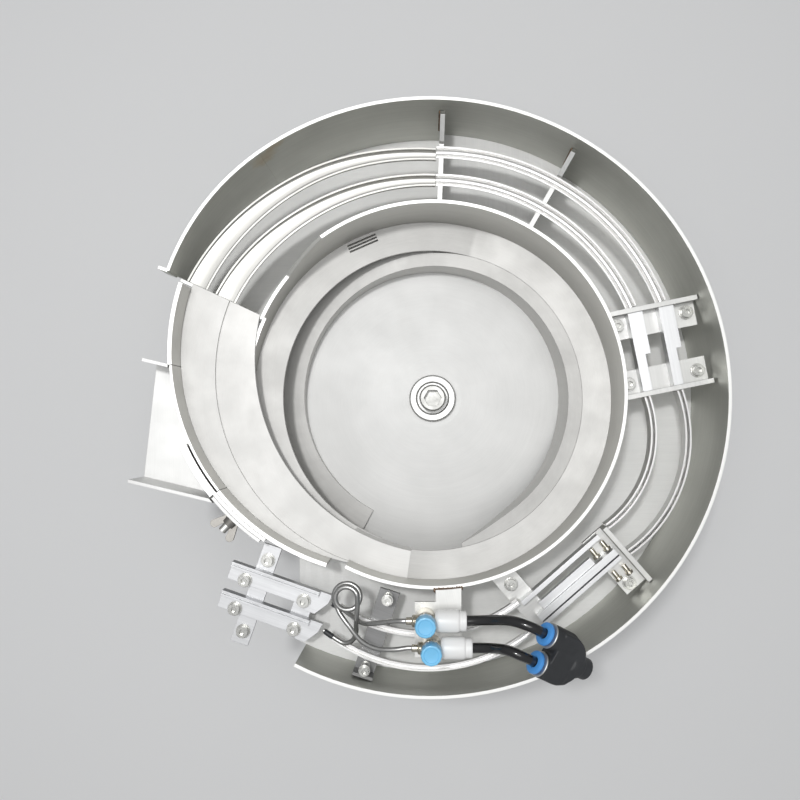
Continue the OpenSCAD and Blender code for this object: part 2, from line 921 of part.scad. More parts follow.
module guard_wall() {
    bottom = pan_z - sheet;
    color(steel) {
        translate(guard_c)
            arc_bar(guard_r - sheet, guard_r, guard_end, guard_tail_a, bottom, rim_z,
                $fn = 180);
        translate(guard_tail_c)
            arc_bar(guard_tail_r - sheet, guard_tail_r, guard_tail_a + guard_seam,
                guard_tail_end, bottom, rim_z, $fn = 180);
        translate(guard_tail_c)
            rotate([0, 0, guard_tail_end])
                translate([guard_tail_r - sheet / 2, -sheet / 2, lane_z])
                    cube([lip_len + sheet / 2, sheet, lane_depth - eps]);
    }
}

// outline of the space between the bowl and the guard wall
module pan_outline(a0, a1) {
    difference() {
        union() {
            intersection() {
                disc_at(guard_c, guard_in);
                slice(a0, min(a1, guard_tail_a));
            }
            if (a1 > guard_tail_a)
                intersection() {
                    disc_at(guard_tail_c, guard_tail_r - sheet - seat);
                    slice(guard_tail_a - 1, a1);
                }
        }
        circle(r = bowl_r + seat, $fn = 180);
    }
}

pan_out_a = -118.5; // outlet end of the pan at the guard wall
pan_in_a = -138; // and at the bowl wall
ramp_power = 1.25;

module pan_ramp() {
    steps = 26;
    loft([for (i = [steps : -1 : 0])
        let (s = i / steps, z = pan_z + pan_climb * pow(s, ramp_power),
            a = mix(pan_low_a, pan_out_a, s),
            p = on_circle(bowl_r + 3 * seat, mix(pan_low_a, pan_in_a, s)),
            q = on_circle(reach(a, guard_c, guard_in), a))
        [[p[0], p[1], z - sheet], [q[0], q[1], z - sheet],
            [q[0], q[1], z], [p[0], p[1], z]]]);
}

module return_pan() {
    color(bright) {
        translate([0, 0, pan_z - sheet])
            linear_extrude(sheet)
                pan_outline(pan_low_a, lane_end + 1.5);
        pan_ramp();
    }
}

rib_angles = [60, 88];
rib_top_depth = 12;
rib_horn_w = 18;

module pan_bridge() {
    color("#b4b7b9")
        translate([0, 0, bridge_z - sheet])
            linear_extrude(sheet)
                difference() {
                    pan_outline(rib_angles[0], rib_angles[1]);
                    for (a = rib_angles)
                        rotate([0, 0, a])
                            translate([0, -rib_t / 2 - seat])
                                square([guard_r, rib_t + 2 * seat]);
                }
}

trough_z = rail_z;

module pan_ribs() {
    color(steel)
        for (a = rib_angles)
            difference() {
                rotate([0, 0, a])
                    translate([0, rib_t / 2, 0])
                        rotate([90, 0, 0])
                            linear_extrude(rib_t)
                                rib_outline(reach(a, guard_c, guard_in) - 0.1);
                for (rail = [inner_trough, outer_trough])
                    trough_bend(rail)
                        translate([0, trough_z])
                            circle(d = trough_w + 2 * seat, $fn = 32);
            }
}

module rib_outline(r_out) {
    polygon([[bowl_r + seat, pan_z], [r_out, pan_z], [r_out, rim_z - rib_top_depth - 5],
        [r_out - 4, rim_z - rib_top_depth], [r_out - rib_horn_w, rail_z + 2],
        [r_out - rib_horn_w - 1, trough_z], [bowl_r + seat, trough_z]]);
}

module pan_end_plate() {
    r_out = reach(lane_end, guard_tail_c, guard_tail_r - sheet - seat) - 0.6;
    color(steel)
        rotate([0, 0, lane_end])
            translate([bowl_r + seat, 0, pan_z])
                cube([r_out - bowl_r - seat, sheet, lane_z - sheet - pan_z]);
}

// ---- rails ------------------------------------------------------------------

entry_end = rib_angles[1] + 1.3;

// [angle, centre radius] and [angle, width] of the entry rails
inner_entry_r = [[entry_end, inner_rail_r], [120, inner_rail_r + 2.7],
    [lane_end - 0.1, inner_rail_r + 8.2]];
outer_entry_r = [[entry_end, outer_rail_r - 1], [120, outer_rail_r + 5],
    [lane_end - 0.1, outer_rail_r + 10.5]];
entry_rail_w = [[entry_end, trough_w], [120, 10], [lane_end - 0.1, 14]];
entry_rail_h = [[entry_end, 5], [lane_end - 0.1, 2.4]];

module channel_rail(a0, a1, steps, radius, width, height) {
    swept(a0, a1, steps, function (a)
        channel_section(curve_at(radius, a), curve_at(width, a), rail_z,
            curve_at(height, a), rail_t));
}

module entry_rails() {
    color(bright) {
        channel_rail(entry_end, lane_end - 0.1, 16, inner_entry_r, entry_rail_w,
            entry_rail_h);
        channel_rail(entry_end, lane_end - 0.1, 16, outer_entry_r, entry_rail_w,
            entry_rail_h);
    }
}

trough_start = rib_angles[1] + 1.2;

// angle at which a rail at radius r meets an upright flange, y from the frame
// that is turned by angle a
function flange_angle(a, y, r) = a + asin(y / r);

// radii of a trough where it ends, half way and where it starts
inner_trough = [inner_rail_r + 0.7, inner_rail_r + 0.9, inner_rail_r];
outer_trough = [outer_rail_r + 2, outer_rail_r + 1.9, outer_rail_r];

module trough_bend(rail) {
    bent_through(on_circle(rail[0], flange_angle(step_a, step_flange_y + end_gap, rail[0])),
        on_circle(rail[1], 50), on_circle(rail[2], trough_start))
        children();
}

// round-bottomed channel, open at the top
module trough_section(w, z) {
    steps = [0 : 15 : 180];
    polygon(concat([for (k = steps) [0, z] - w / 2 * [cos(k), sin(k)]],
        [for (k = steps) [0, z] + (w / 2 - rail_t) * [cos(k), -sin(k)]]));
}

module trough_rails() {
    color(steel)
        for (rail = [inner_trough, outer_trough])
            trough_bend(rail)
                trough_section(trough_w, trough_z);
}

// ---- straight step bars on their two brackets --------------------------------

step_a = 11.5;
step_len = 50;
step_mid = 1;
notch_y = -1.1;
step_shelf_w = 15;
step_screw_y = [20, -17.5];
step_bar_x = [bowl_r + 12.8, bowl_r + 32.5];
step_w = 3.4;
bar_bottom = rail_z - bar_h;
shelf_z = bar_bottom - strap_t;
flange_h = 13;
shelf_out = guard_r - 7;
shelf_screw_x = [bowl_r + 6.5, shelf_out - 6];
step_flange_y = step_mid + step_len / 2 + seat + strap_t; // far face of the upper flange
end_gap = 0.3; // rails end this far from the flanges they are welded to

module at_step_frame() {
    rotate([0, 0, step_a])
        children();
}

// an L bracket: shelf from r0 to r1 with an upright flange on its far side
module shelf_bracket(r0, r1, y, side) {
    translate([r0, side > 0 ? y - step_shelf_w : y, shelf_z])
        cube([r1 - r0, step_shelf_w, strap_t]);
    translate([r0, side > 0 ? y : y - strap_t, shelf_z])
        cube([r1 - r0, strap_t, flange_h]);
}

module step_brackets() {
    top = step_mid + step_len / 2 + seat;
    low = step_mid - step_len / 2 - seat;
    color(steel) difference() {
        at_step_frame() {
            shelf_bracket(bowl_r - 4, shelf_out, top, 1);
            shelf_bracket(bowl_r - 4, shelf_out, low, -1);
        }
        translate([0, 0, pan_z])
            cylinder(r = bowl_r + seat, h = pan_depth, $fn = 180);
        at_step_frame()
            for (y = step_screw_y) for (x = shelf_screw_x)
                translate([x, y, bar_bottom])
                    screw_hole(strap_t + 1);
    }
}

module step_bars() {
    color(bright) at_step_frame()
        for (x = step_bar_x) {
            translate([x, step_mid - step_len / 2, bar_bottom])
                cube([bar_w, step_len, bar_h]);
            translate([x, notch_y, bar_bottom])
                cube([bar_w + step_w, step_mid + step_len / 2 - notch_y, bar_h]);
        }
}

// ---- hanging rails ------------------------------------------------------------

hanging_w = 4;
hanging_h = 9;

// open channel section about x = 0, hanging down from the rails' height
module channel_profile(h) {
    polygon(channel_section(0, hanging_w, rail_z, h, rail_t));
}

// gaps from the bowl to the rail's centre at its two ends and half way
module hanging_rail(gaps) {
    r = [for (g = gaps) bowl_r + g];
    low_y = step_len / 2 - step_mid + strap_t + seat + end_gap;
    bent_through(
        on_circle(r[0], flange_angle(sort_a, sort_shelf_y + strap_t + end_gap, r[0])),
        on_circle(r[1], -20), on_circle(r[2], flange_angle(step_a, -low_y, r[2])))
        channel_profile(hanging_h);
}

module inner_hanging_rail() color(bright) hanging_rail([19.6, 26, 17.4]);
module outer_hanging_rail() color(bright) hanging_rail([40.4, 48, 37.9]);

// ---- sorting bars at the lower right ------------------------------------------

sort_a = -48.7;
sort_shelf_y = 24.5;
sort_low_y = -34;
sort_in = bowl_r + 16;
sort_out = guard_r - 4.5;
sort_low_out = bowl_r + 39;
sort_screws = [[sort_out - 5, 15.5], [bowl_r + 5.5, -41.5]];

module at_sort_frame() {
    rotate([0, 0, sort_a])
        children();
}

module sorting_brackets() {
    color(steel) difference() {
        at_sort_frame() {
            shelf_bracket(sort_in, sort_out, sort_shelf_y, 1);
            translate([bowl_r - 8, sort_low_y - step_shelf_w, shelf_z])
                cube([sort_low_out - bowl_r + 8, step_shelf_w, strap_t]);
        }
        translate([0, 0, pan_z])
            cylinder(r = bowl_r + seat, h = pan_depth, $fn = 180);
        at_sort_frame()
            for (p = sort_screws)
                translate([p[0], p[1], bar_bottom])
                    screw_hole(strap_t + 1);
    }
}

// [inner radius, width, first y, length, drop of the upper edge]
sort_bars = [[0.5, 3, -44, 64, 0], [9, 5, -36, 43, 3], [14.2, 4.5, -42, 64, 1],
    [19.5, 2.5, -42, 64, 0]];

module sorting_bars() {
    color(bright) at_sort_frame()
        for (b = sort_bars)
            translate([sort_in + b[0], b[2], bar_bottom])
                cube([b[1], b[3], bar_h - b[4]]);
}

// ---- curved rails to the outlet -----------------------------------------------

// [gap from the bowl, angle] at the start, the middle and the end of each rail
inner_curve = [[28, -114], [32.5, -92], [23, -67.5]];
outer_curve = [[46.5, -113], [53.8, -95], [41.5, -65.5]];

module curved_rail(curve) {
    p = [for (c = curve) on_circle(bowl_r + c[0], c[1])];
    bent_through(p[0], p[1], p[2])
        channel_profile(hanging_w);
}

module inner_curved_rail() color(bright) curved_rail(inner_curve);
module outer_curved_rail() color(bright) curved_rail(outer_curve);

// ---- outlet -------------------------------------------------------------------

// frame of the outlet: origin at the outer end of the upper bar, +X inwards
outlet_origin = on_circle(bowl_r + 50.2, 220.59);
outlet_turn = -19.4;
outlet_z = rail_z;
outlet_t = 4;
outlet_ridge_w = 3.4;
outlet_ridge_h = 3;
groove_w = 1;
cross_x = 20;
cross_len = 65;
cross_y0 = -43;
outlet_bar_y = [0, -outlet_pitch];
outlet_screw_x = [11, outlet_len - 8];
outlet_screw_y = -3.2;
nose = 8;

module at_outlet() {
    translate([outlet_origin[0], outlet_origin[1], outlet_z])
        rotate([0, 0, outlet_turn])
            children();
}

module outlet_bar() {
    half = outlet_w / 2;
    difference() {
        union() {
            translate([0, 0, -outlet_t])
                linear_extrude(outlet_t)
                    polygon([[0, half], [0, -half], [outlet_len - nose, -half],
                        [outlet_len - nose + 3, -half - 3], [outlet_len + 1, -half - 3],
                        [outlet_len + nose - 1, 0], [outlet_len + nose, half]]);
            translate([0, half - outlet_ridge_w, -eps])
                cube([outlet_len, outlet_ridge_w, outlet_ridge_h]);
        }
        translate([-1, half - outlet_ridge_w / 2 - groove_w / 2, outlet_ridge_h / 2])
            cube([outlet_len + 2, groove_w, outlet_ridge_h]);
        for (x = outlet_screw_x)
            translate([x, outlet_screw_y, 0])
                screw_hole(outlet_t + 1);
    }
}

module outlet_bars() {
    color("#b9bcbd") at_outlet()
        for (y = outlet_bar_y)
            translate([0, y, 0])
                outlet_bar();
}

cross_screw_y = [12.5, -outlet_pitch - 16];

module outlet_cross_plate() {
    color("#aeb1b2") at_outlet()
        difference() {
            translate([cross_x, cross_y0, -outlet_t - strap_t])
                linear_extrude(strap_t)
                    translate([-outlet_w / 2, 0])
                        square([outlet_w, cross_len]);
            for (y = cross_screw_y)
                translate([cross_x, y, -outlet_t])
                    screw_hole(strap_t + 1);
        }
}

bracket_y0 = -outlet_pitch - 7;
bracket_len = outlet_pitch + 9;
outlet_leg_z = pan_z + pan_climb + seat;

// stands on the pan's upper end, under the outlet bars' inner screws
module outlet_bracket() {
    color(bright) at_outlet()
        difference() {
            union() {
                translate([outlet_screw_x[1] - 6, bracket_y0, -outlet_t - strap_t])
                    cube([12, bracket_len, strap_t]);
                translate([outlet_screw_x[1] - 6, bracket_y0 + 3, outlet_leg_z - outlet_z])
                    cube([3, bracket_len - 4, outlet_z - outlet_leg_z - outlet_t]);
            }
            for (y = outlet_bar_y)
                translate([outlet_screw_x[1], y + outlet_screw_y, -outlet_t])
                    screw_hole(strap_t + 1);
        }
}

// the strap runs from beside the bowl to the guard wall, which its end stands against
strap_p0 = on_circle(bowl_r + 8.9, 257.62);
strap_p1 = on_circle(guard_r - 0.76, 255.89);
strap_len = norm(strap_p1 - strap_p0);
strap_w = 13;
strap_end_t = 2;
strap_z = rail_z - hanging_w - seat;
stud_screw_d = 3.2;
strap_screws = [[3.7, 0], [strap_len - 5.2, 0]];
spacer_h = 12;

module at_strap() {
    d = strap_p1 - strap_p0;
    translate([strap_p0[0], strap_p0[1], strap_z])
        rotate([0, 0, atan2(d[1], d[0])])
            children();
}

module strap_plate() {
    color(dark_metal) at_strap()
        difference() {
            union() {
                translate([0, -strap_w / 2, -strap_t])
                    cube([strap_len, strap_w, strap_t]);
                translate([strap_len - strap_end_t, -strap_w / 2, -strap_t])
                    cube([strap_end_t, strap_w, 14]);
            }
            for (p = strap_screws)
                translate([p[0], p[1], 0])
                    screw_hole(strap_t + 1, stud_screw_d);
        }
}

// screw that stands off the strap on a spacer with a round foot
module standing_screw() {
    translate([0, 0, spacer_h])
        socket_screw(spacer_h + strap_t + 2, stud_screw_d);
    difference() {
        union() {
            cylinder(d = 1.8 * stud_screw_d, h = 1.5, $fn = 32);
            cylinder(d = 1.5 * stud_screw_d, h = spacer_h - seat, $fn = 32);
        }
        translate([0, 0, -1])
            cylinder(d = stud_screw_d + 2 * seat, h = spacer_h + 2, $fn = 24);
    }
}

module tooling_screws() {
    color(steel) {
        at_step_frame()
            for (y = step_screw_y) for (x = shelf_screw_x)
                translate([x, y, bar_bottom])
                    socket_screw(strap_t + 3);
        at_sort_frame()
            for (p = sort_screws)
                translate([p[0], p[1], bar_bottom])
                    socket_screw(strap_t + 3);
        at_outlet() {
            for (y = outlet_bar_y) for (x = outlet_screw_x)
                translate([x, y + outlet_screw_y, 0])
                    socket_screw(outlet_t + 2);
            for (y = cross_screw_y)
                translate([cross_x, y, -outlet_t])
                    socket_screw(strap_t + 3);
        }
        at_strap()
            for (p = strap_screws)
                translate([p[0], p[1], 0])
                    standing_screw();
    }
}

// ---- air valves, pipes and fitting --------------------------------------------

valve_p = [-4.4, -bowl_r - 16.4];
valve_turn = -78;
shelf_top = rim_z + 2;
valve_body_h = 16;
valve_body_d = 12;
knob_h = 10;
barrel_z = shelf_top + 9;
barrel_len = 20;
spindle_d = 5;

// positions of the two valves
function valve_at(i) = valve_p + i * on_circle(valve_pitch, valve_turn);

module at_valve(i) {
    p = valve_at(i);
    translate([p[0], p[1], 0])
        children();
}

bracket_x = [1.5, 17];
bracket_drop = 14;
bracket_t = 2;

module valve_bracket() {
    shelf_y = valve_at(1)[1] - 8;
    color(steel) difference() {
        union() {
            translate([-11, shelf_y, shelf_top - bracket_t])
                cube([bracket_x[1] + 11, -bowl_r - 7 - shelf_y, bracket_t]);
            translate([bracket_x[0], -bowl_r - 7.5, shelf_top - bracket_t])
                cube([bracket_x[1] - bracket_x[0], 6, bracket_t]);
            translate([bracket_x[0], -bowl_r - bracket_t, shelf_top - bracket_drop])
                cube([bracket_x[1] - bracket_x[0], 2 * bracket_t, bracket_drop]);
        }
        translate([0, 0, pan_z])
            cylinder(r = bowl_r + seat, h = pan_depth + 2 * bracket_t, $fn = 180);
        for (i = [0, 1])
            at_valve(i)
                translate([0, 0, shelf_top - bracket_t - 1])
                    cylinder(d = spindle_d + 2 * seat, h = bracket_t + 2, $fn = 32);
    }
}

nipple_len = 5;

module valve_bodies() {
    color("#c4c4bd") for (i = [0, 1])
        at_valve(i) {
            translate([0, 0, shelf_top - 6])
                cylinder(d = spindle_d, h = 6 + eps, $fn = 32);
            translate([0, 0, shelf_top])
                cylinder(d = valve_body_d, h = valve_body_h - 2, $fn = 48);
            translate([0, 0, shelf_top + valve_body_h - 2 - eps])
                cylinder(d = valve_body_d - 2, h = 2 + eps, $fn = 6);
            translate([0, 0, shelf_top + valve_body_h - eps])
                cylinder(d = spindle_d, h = knob_h - 2, $fn = 32);
            translate([-valve_body_d / 2 - nipple_len, 0, barrel_z])
                rotate([0, 90, 0])
                    cylinder(d = 6, h = nipple_len + 1, $fn = 32);
        }
}

module valve_barrels() {
    color("#e6e6e2") for (i = [0, 1])
        at_valve(i)
            difference() {
                translate([0, 0, barrel_z])
                    rotate([0, 90, 0]) {
                        cylinder(d = barrel_d - 2, h = valve_body_d / 2 + 2, $fn = 48);
                        translate([0, 0, valve_body_d / 2 + 1])
                            cylinder(d = barrel_d, h = barrel_len - 4, $fn = 48);
                        translate([0, 0, valve_body_d / 2 + barrel_len - 3 - eps])
                            cylinder(d = barrel_d - 3, h = 3, $fn = 48);
                    }
                translate([0, 0, shelf_top - 1])
                    cylinder(d = valve_body_d + 2 * seat, h = valve_body_h + 2, $fn = 48);
                translate([valve_body_d / 2 + barrel_len - tube_grip - 2, 0, barrel_z])
                    rotate([0, 90, 0])
                        cylinder(d = tube_d + 4 * seat, h = barrel_len, $fn = 32);
            }
}

knob_gap = 0.15;

module valve_knob(i) {
    z0 = shelf_top + valve_body_h + knob_gap;
    color("#78c6f2") at_valve(i)
        difference() {
            union() {
                translate([0, 0, z0])
                    cylinder(d = knob_d, h = knob_h, $fn = 12);
                translate([0, 0, z0 + knob_h - eps])
                    cylinder(d1 = knob_d - 0.6, d2 = knob_d - 2, h = 0.8, $fn = 48);
            }
            translate([0, 0, z0 - 1])
                cylinder(d = spindle_d + 0.1, h = knob_h, $fn = 32);
        }
}

module inner_valve_knob() valve_knob(0);
module outer_valve_knob() valve_knob(1);

// the metal pipes run from the valves to the outlet bars: distances from the inner
// valve's axis and heights over the rim
inner_pipe = [[-19.6, -0.6, 9], [-30.6, -3.1, 4], [-38.6, -4.6, -4],
    [-45.6, -2.1, -12], [-52.6, 1.4, -16.5], [-58.6, 3.9, -18.5]];
outer_pipe = [[-19.6, -17.1, 10], [-29.6, -17.1, 7], [-38.6, -13.6, 3],
    [-45.6, -5.6, -1], [-51.6, 2.4, -3.5], [-55.6, 10.9, -3.5], [-47.1, 19.9, -3],
    [-38.6, 11.4, -2], [-42.6, 2.9, -0.5], [-49.1, 3.4, 1.5], [-52.6, 11.4, 3],
    [-47.1, 17.4, 4], [-41.6, 12.4, 3.5], [-41.1, 4.4, 1], [-42.1, -4.6, -4],
    [-42.6, -11.6, -10], [-45.1, -17.6, -14], [-50.6, -20.1, -16.5],
    [-57.6, -16.6, -17.5], [-63.6, -12.6, -18.2]];

// start of a pipe at the valve's nipple
function pipe_start(i) = let (p = valve_at(i), x = p[0] - valve_body_d / 2 - nipple_len)
    [[x, p[1], barrel_z], [x - 3, p[1], barrel_z]];

function from_valves(points) = [for (p = points) p + [valve_p[0], valve_p[1], rim_z]];

module air_pipes() {
    color("#a9abaa") {
        tube(smooth(concat(pipe_start(0), from_valves(inner_pipe)), 3), pipe_d);
        tube(smooth(concat(pipe_start(1), from_valves(outer_pipe)), 3), pipe_d);
    }
}

// the fitting lies over the guard wall's rim: +X runs down into its body
fitting_p = concat(on_circle(guard_r - 23.5, -67.49), [rim_z + 23.5]);
fitting_turn = -30;
fitting_dip = 25;
port_y = 8.6;
port_x = [-2, 2];
tube_grip = 7;
ring_d = 13.6;
ring_t = 2.6;
ring_stem_d = 9;
ring_travel = 0.8;
collar_t = 1.6;
port_d = 15;

module at_port(i) {
    translate(fitting_p)
        rotate([0, fitting_dip, fitting_turn])
            translate([port_x[i], i == 0 ? port_y : -port_y, 0])
                rotate([0, 90, 0])
                    children();
}

// point on a port's axis, s along +X from its mouth
function port_point(i, s) =
    let (x = port_x[i] + s, y = i == 0 ? port_y : -port_y)
    fitting_p + [
        x * cos(fitting_dip) * cos(fitting_turn) - y * sin(fitting_turn),
        x * cos(fitting_dip) * sin(fitting_turn) + y * cos(fitting_turn),
        -x * sin(fitting_dip)];

module air_tube(i, bend) {
    p = valve_at(i);
    x_end = p[0] + valve_body_d / 2 + barrel_len;
    color("#141414")
        tube(smooth(concat(
            [[x_end - tube_grip, p[1], barrel_z], [x_end, p[1], barrel_z],
                [x_end + 3, p[1], barrel_z]], from_valves(bend),
            [port_point(i, -10), port_point(i, 0), port_point(i, tube_grip)]), 3),
            tube_d, 12);
}

inner_bend = [[36.4, 1.4, 15], [48.4, 3.4, 24.5]];
outer_bend = [[38.4, -14.6, 16], [46.4, -13.6, 24]];

module inner_air_tube() air_tube(0, inner_bend);
module outer_air_tube() air_tube(1, outer_bend);

module release_ring(i) {
    color("#4f93dd") at_port(i)
        difference() {
            union() {
                cylinder(d = ring_d, h = ring_t, $fn = 48);
                cylinder(d = ring_stem_d, h = ring_t + 5, $fn = 48);
            }
            translate([0, 0, -1])
                cylinder(d = tube_d + 4 * seat, h = ring_t + 8, $fn = 32);
        }
}

module inner_release_ring() release_ring(0);
module outer_release_ring() release_ring(1);

fitting_len = 30;
fitting_end_d = 16;
branch_x = 12;
supply_grip = 12;

module at_fitting(x = 0, y = 0) {
    translate(fitting_p)
        rotate([0, fitting_dip, fitting_turn])
            translate([x, y, 0])
                rotate([0, 90, 0])
                    children();
}

body_t = 12;
body_x = 8;
body_r = port_y + 6.8;

module y_fitting() {
    face = ring_t + ring_travel + 0.2;
    color("#1c1d1e") difference() {
        union() {
            for (i = [0, 1])
                at_port(i)
                    translate([0, 0, face])
                        cylinder(d = port_d, h = branch_x - port_x[i], $fn = 48);
            translate(fitting_p)
                rotate([0, fitting_dip, fitting_turn])
                    translate([0, 0, -body_t / 2])
                        linear_extrude(body_t)
                            difference() {
                                union() {
                                    translate([2 * body_x, 0])
                                        circle(r = body_r, $fn = 64);
                                    translate([body_x, -body_r + 0.2])
                                        square([body_x, 2 * body_r - 0.4]);
                                }
                                translate([body_x - 4 * body_r, -2 * body_r])
                                    square(4 * body_r);
                            }
            at_fitting(fitting_len - 5)
                cylinder(d = fitting_end_d, h = 6, $fn = 48);
            at_fitting(fitting_len)
                cylinder(d = barrel_d, h = 8, $fn = 48);
        }
        for (i = [0, 1])
            at_port(i) {
                translate([0, 0, -1])
                    cylinder(d = ring_stem_d + 0.2, h = ring_t + 5 + 1 + ring_travel + 0.3,
                        $fn = 48);
                cylinder(d = tube_d + 4 * seat, h = tube_grip + 6, $fn = 32);
            }
        at_fitting(fitting_len + 8 - supply_grip)
            cylinder(d = tube_d + 4 * seat, h = supply_grip + 1, $fn = 32);
    }
}

rubber_feet();
foot_inserts();
drive_base();
cable_gland();
magnet_core();
magnet_coil();
lower_spring_clamps();
lower_spring_screws();
leaf_springs();
upper_spring_clamps();
upper_spring_screws();
top_plate();
armature();
bowl_plate();
bowl_wall();
bowl_floor();
center_washer();
center_bolt();
spiral_track();
upper_track();
inner_lane();
outer_lane();
rear_exit_wall();
middle_exit_wall();
front_exit_wall();
guard_wall();
return_pan();
pan_bridge();
pan_ribs();
pan_end_plate();
entry_rails();
trough_rails();
step_brackets();
step_bars();
inner_hanging_rail();
outer_hanging_rail();
sorting_brackets();
sorting_bars();
inner_curved_rail();
outer_curved_rail();
outlet_bars();
outlet_cross_plate();
outlet_bracket();
strap_plate();
tooling_screws();
overflow_chute();
gate_strip();
gate_clamp();
wing_nut();
valve_bracket();
valve_bodies();
valve_barrels();
inner_valve_knob();
outer_valve_knob();
air_pipes();
inner_air_tube();
outer_air_tube();
y_fitting();
inner_release_ring();
outer_release_ring();
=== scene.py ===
import math

import bmesh
import bpy
from mathutils import Matrix, Vector


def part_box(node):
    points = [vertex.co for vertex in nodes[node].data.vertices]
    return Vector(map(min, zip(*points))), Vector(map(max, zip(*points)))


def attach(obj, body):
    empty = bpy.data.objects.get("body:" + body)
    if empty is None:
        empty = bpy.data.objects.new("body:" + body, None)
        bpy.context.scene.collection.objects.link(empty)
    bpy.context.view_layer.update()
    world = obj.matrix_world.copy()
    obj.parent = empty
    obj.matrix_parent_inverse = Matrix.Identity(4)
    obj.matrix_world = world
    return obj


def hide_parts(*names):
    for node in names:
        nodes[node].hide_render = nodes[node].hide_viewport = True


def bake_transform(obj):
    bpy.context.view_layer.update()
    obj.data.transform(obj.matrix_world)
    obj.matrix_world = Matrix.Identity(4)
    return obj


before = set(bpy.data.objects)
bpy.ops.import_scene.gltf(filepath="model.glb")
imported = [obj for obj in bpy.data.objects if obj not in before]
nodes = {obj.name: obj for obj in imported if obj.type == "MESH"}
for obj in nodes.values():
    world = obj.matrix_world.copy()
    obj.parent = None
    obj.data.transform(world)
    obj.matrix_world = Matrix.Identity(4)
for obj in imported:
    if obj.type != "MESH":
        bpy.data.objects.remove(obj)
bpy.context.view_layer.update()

MM = 0.001
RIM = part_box("bowl_wall")[1][2]
rim = RIM / MM  # the same height in millimetres, the unit of every shape below


def mm(*values):
    return Vector(values) * MM


def polar(radius, angle, z):
    """Point in metres from a radius and a height in millimetres and an angle in degrees."""
    a = math.radians(angle)
    return mm(radius * math.cos(a), radius * math.sin(a), z)


def add_object(name, data):
    made = bpy.data.objects.new(name, data)
    bpy.context.collection.objects.link(made)
    return made


# ---- camera, floor and light ------------------------------------------------------

camera_data = bpy.data.cameras.new("camera")
camera_data.lens = 37.5
camera_data.sensor_width = 36
camera_data.shift_x = -0.0369
camera_data.shift_y = 0.0309
camera_data.clip_start = 0.01
camera = add_object("camera", camera_data)
camera.location = (-0.0021, -0.0182, RIM + 0.5)
bpy.context.scene.camera = camera

bpy.context.scene.view_settings.view_transform = "Standard"


def area_lamp(name, location, target, size, power):
    data = bpy.data.lights.new(name, "AREA")
    data.shape = "DISK"
    data.size = size
    data.energy = power
    lamp = add_object(name, data)
    lamp.location = location
    lamp.rotation_euler = (Vector(target) - Vector(location)).to_track_quat("-Z", "Y").to_euler()


area_lamp("soft_box", (-0.06, 0.06, 1.65), (0, 0, 0.1), 1.1, 6.5)
area_lamp("key_lamp", (-0.15, 0.17, 1.30), (0, 0, 0.15), 0.08, 4.2)

world = bpy.data.worlds.new("studio")
bpy.context.scene.world = world
world.use_nodes = True
wt = world.node_tree
wt.nodes.clear()
w_out = wt.nodes.new("ShaderNodeOutputWorld")
w_bg = wt.nodes.new("ShaderNodeBackground")
w_ramp = wt.nodes.new("ShaderNodeValToRGB")
w_sep = wt.nodes.new("ShaderNodeSeparateXYZ")
w_co = wt.nodes.new("ShaderNodeTexCoord")
w_map = wt.nodes.new("ShaderNodeMapRange")
w_map.inputs["From Min"].default_value = -0.2
w_ramp.color_ramp.elements[0].position = 0.0
w_ramp.color_ramp.elements[0].color = (0.34, 0.345, 0.35, 1)
w_ramp.color_ramp.elements[1].position = 1.0
w_ramp.color_ramp.elements[1].color = (0.78, 0.785, 0.79, 1)
wt.links.new(w_co.outputs["Generated"], w_sep.inputs[0])
wt.links.new(w_sep.outputs["Z"], w_map.inputs["Value"])
wt.links.new(w_map.outputs[0], w_ramp.inputs[0])
wt.links.new(w_ramp.outputs[0], w_bg.inputs["Color"])
w_bg.inputs["Strength"].default_value = 0.58
wt.links.new(w_bg.outputs[0], w_out.inputs[0])


# ---- shader helpers ----------------------------------------------------------------

def new_group(name, inputs, outputs):
    """Empty shader group with named sockets: (name, type, default) and (name, type)."""
    g = bpy.data.node_groups.new(name, "ShaderNodeTree")
    for label, kind, default in inputs:
        s = g.interface.new_socket(label, in_out="INPUT", socket_type="NodeSocket" + kind)
        s.default_value = default
    for label, kind in outputs:
        g.interface.new_socket(label, in_out="OUTPUT", socket_type="NodeSocket" + kind)
    return g, g.nodes.new("NodeGroupInput"), g.nodes.new("NodeGroupOutput")


def math_node(tree, op, a, b=None, clamp=False):
    n = tree.nodes.new("ShaderNodeMath")
    n.operation = op
    n.use_clamp = clamp
    for i, v in enumerate((a, b)):
        if v is None:
            continue
        if isinstance(v, (int, float)):
            n.inputs[i].default_value = v
        else:
            tree.links.new(v, n.inputs[i])
    return n.outputs[0]


def noise_node(tree, vector, scale, detail=3.0, rough=0.55):
    n = tree.nodes.new("ShaderNodeTexNoise")
    n.inputs["Detail"].default_value = detail
    n.inputs["Roughness"].default_value = rough
    tree.links.new(vector, n.inputs["Vector"])
    if isinstance(scale, (int, float)):
        n.inputs["Scale"].default_value = scale
    else:
        tree.links.new(scale, n.inputs["Scale"])
    return n.outputs["Fac"]


def range_node(tree, value, lo, hi, to_lo=0.0, to_hi=1.0):
    n = tree.nodes.new("ShaderNodeMapRange")
    n.clamp = True
    tree.links.new(value, n.inputs["Value"])
    for label, v in (("From Min", lo), ("From Max", hi), ("To Min", to_lo), ("To Max", to_hi)):
        n.inputs[label].default_value = v
    return n.outputs[0]


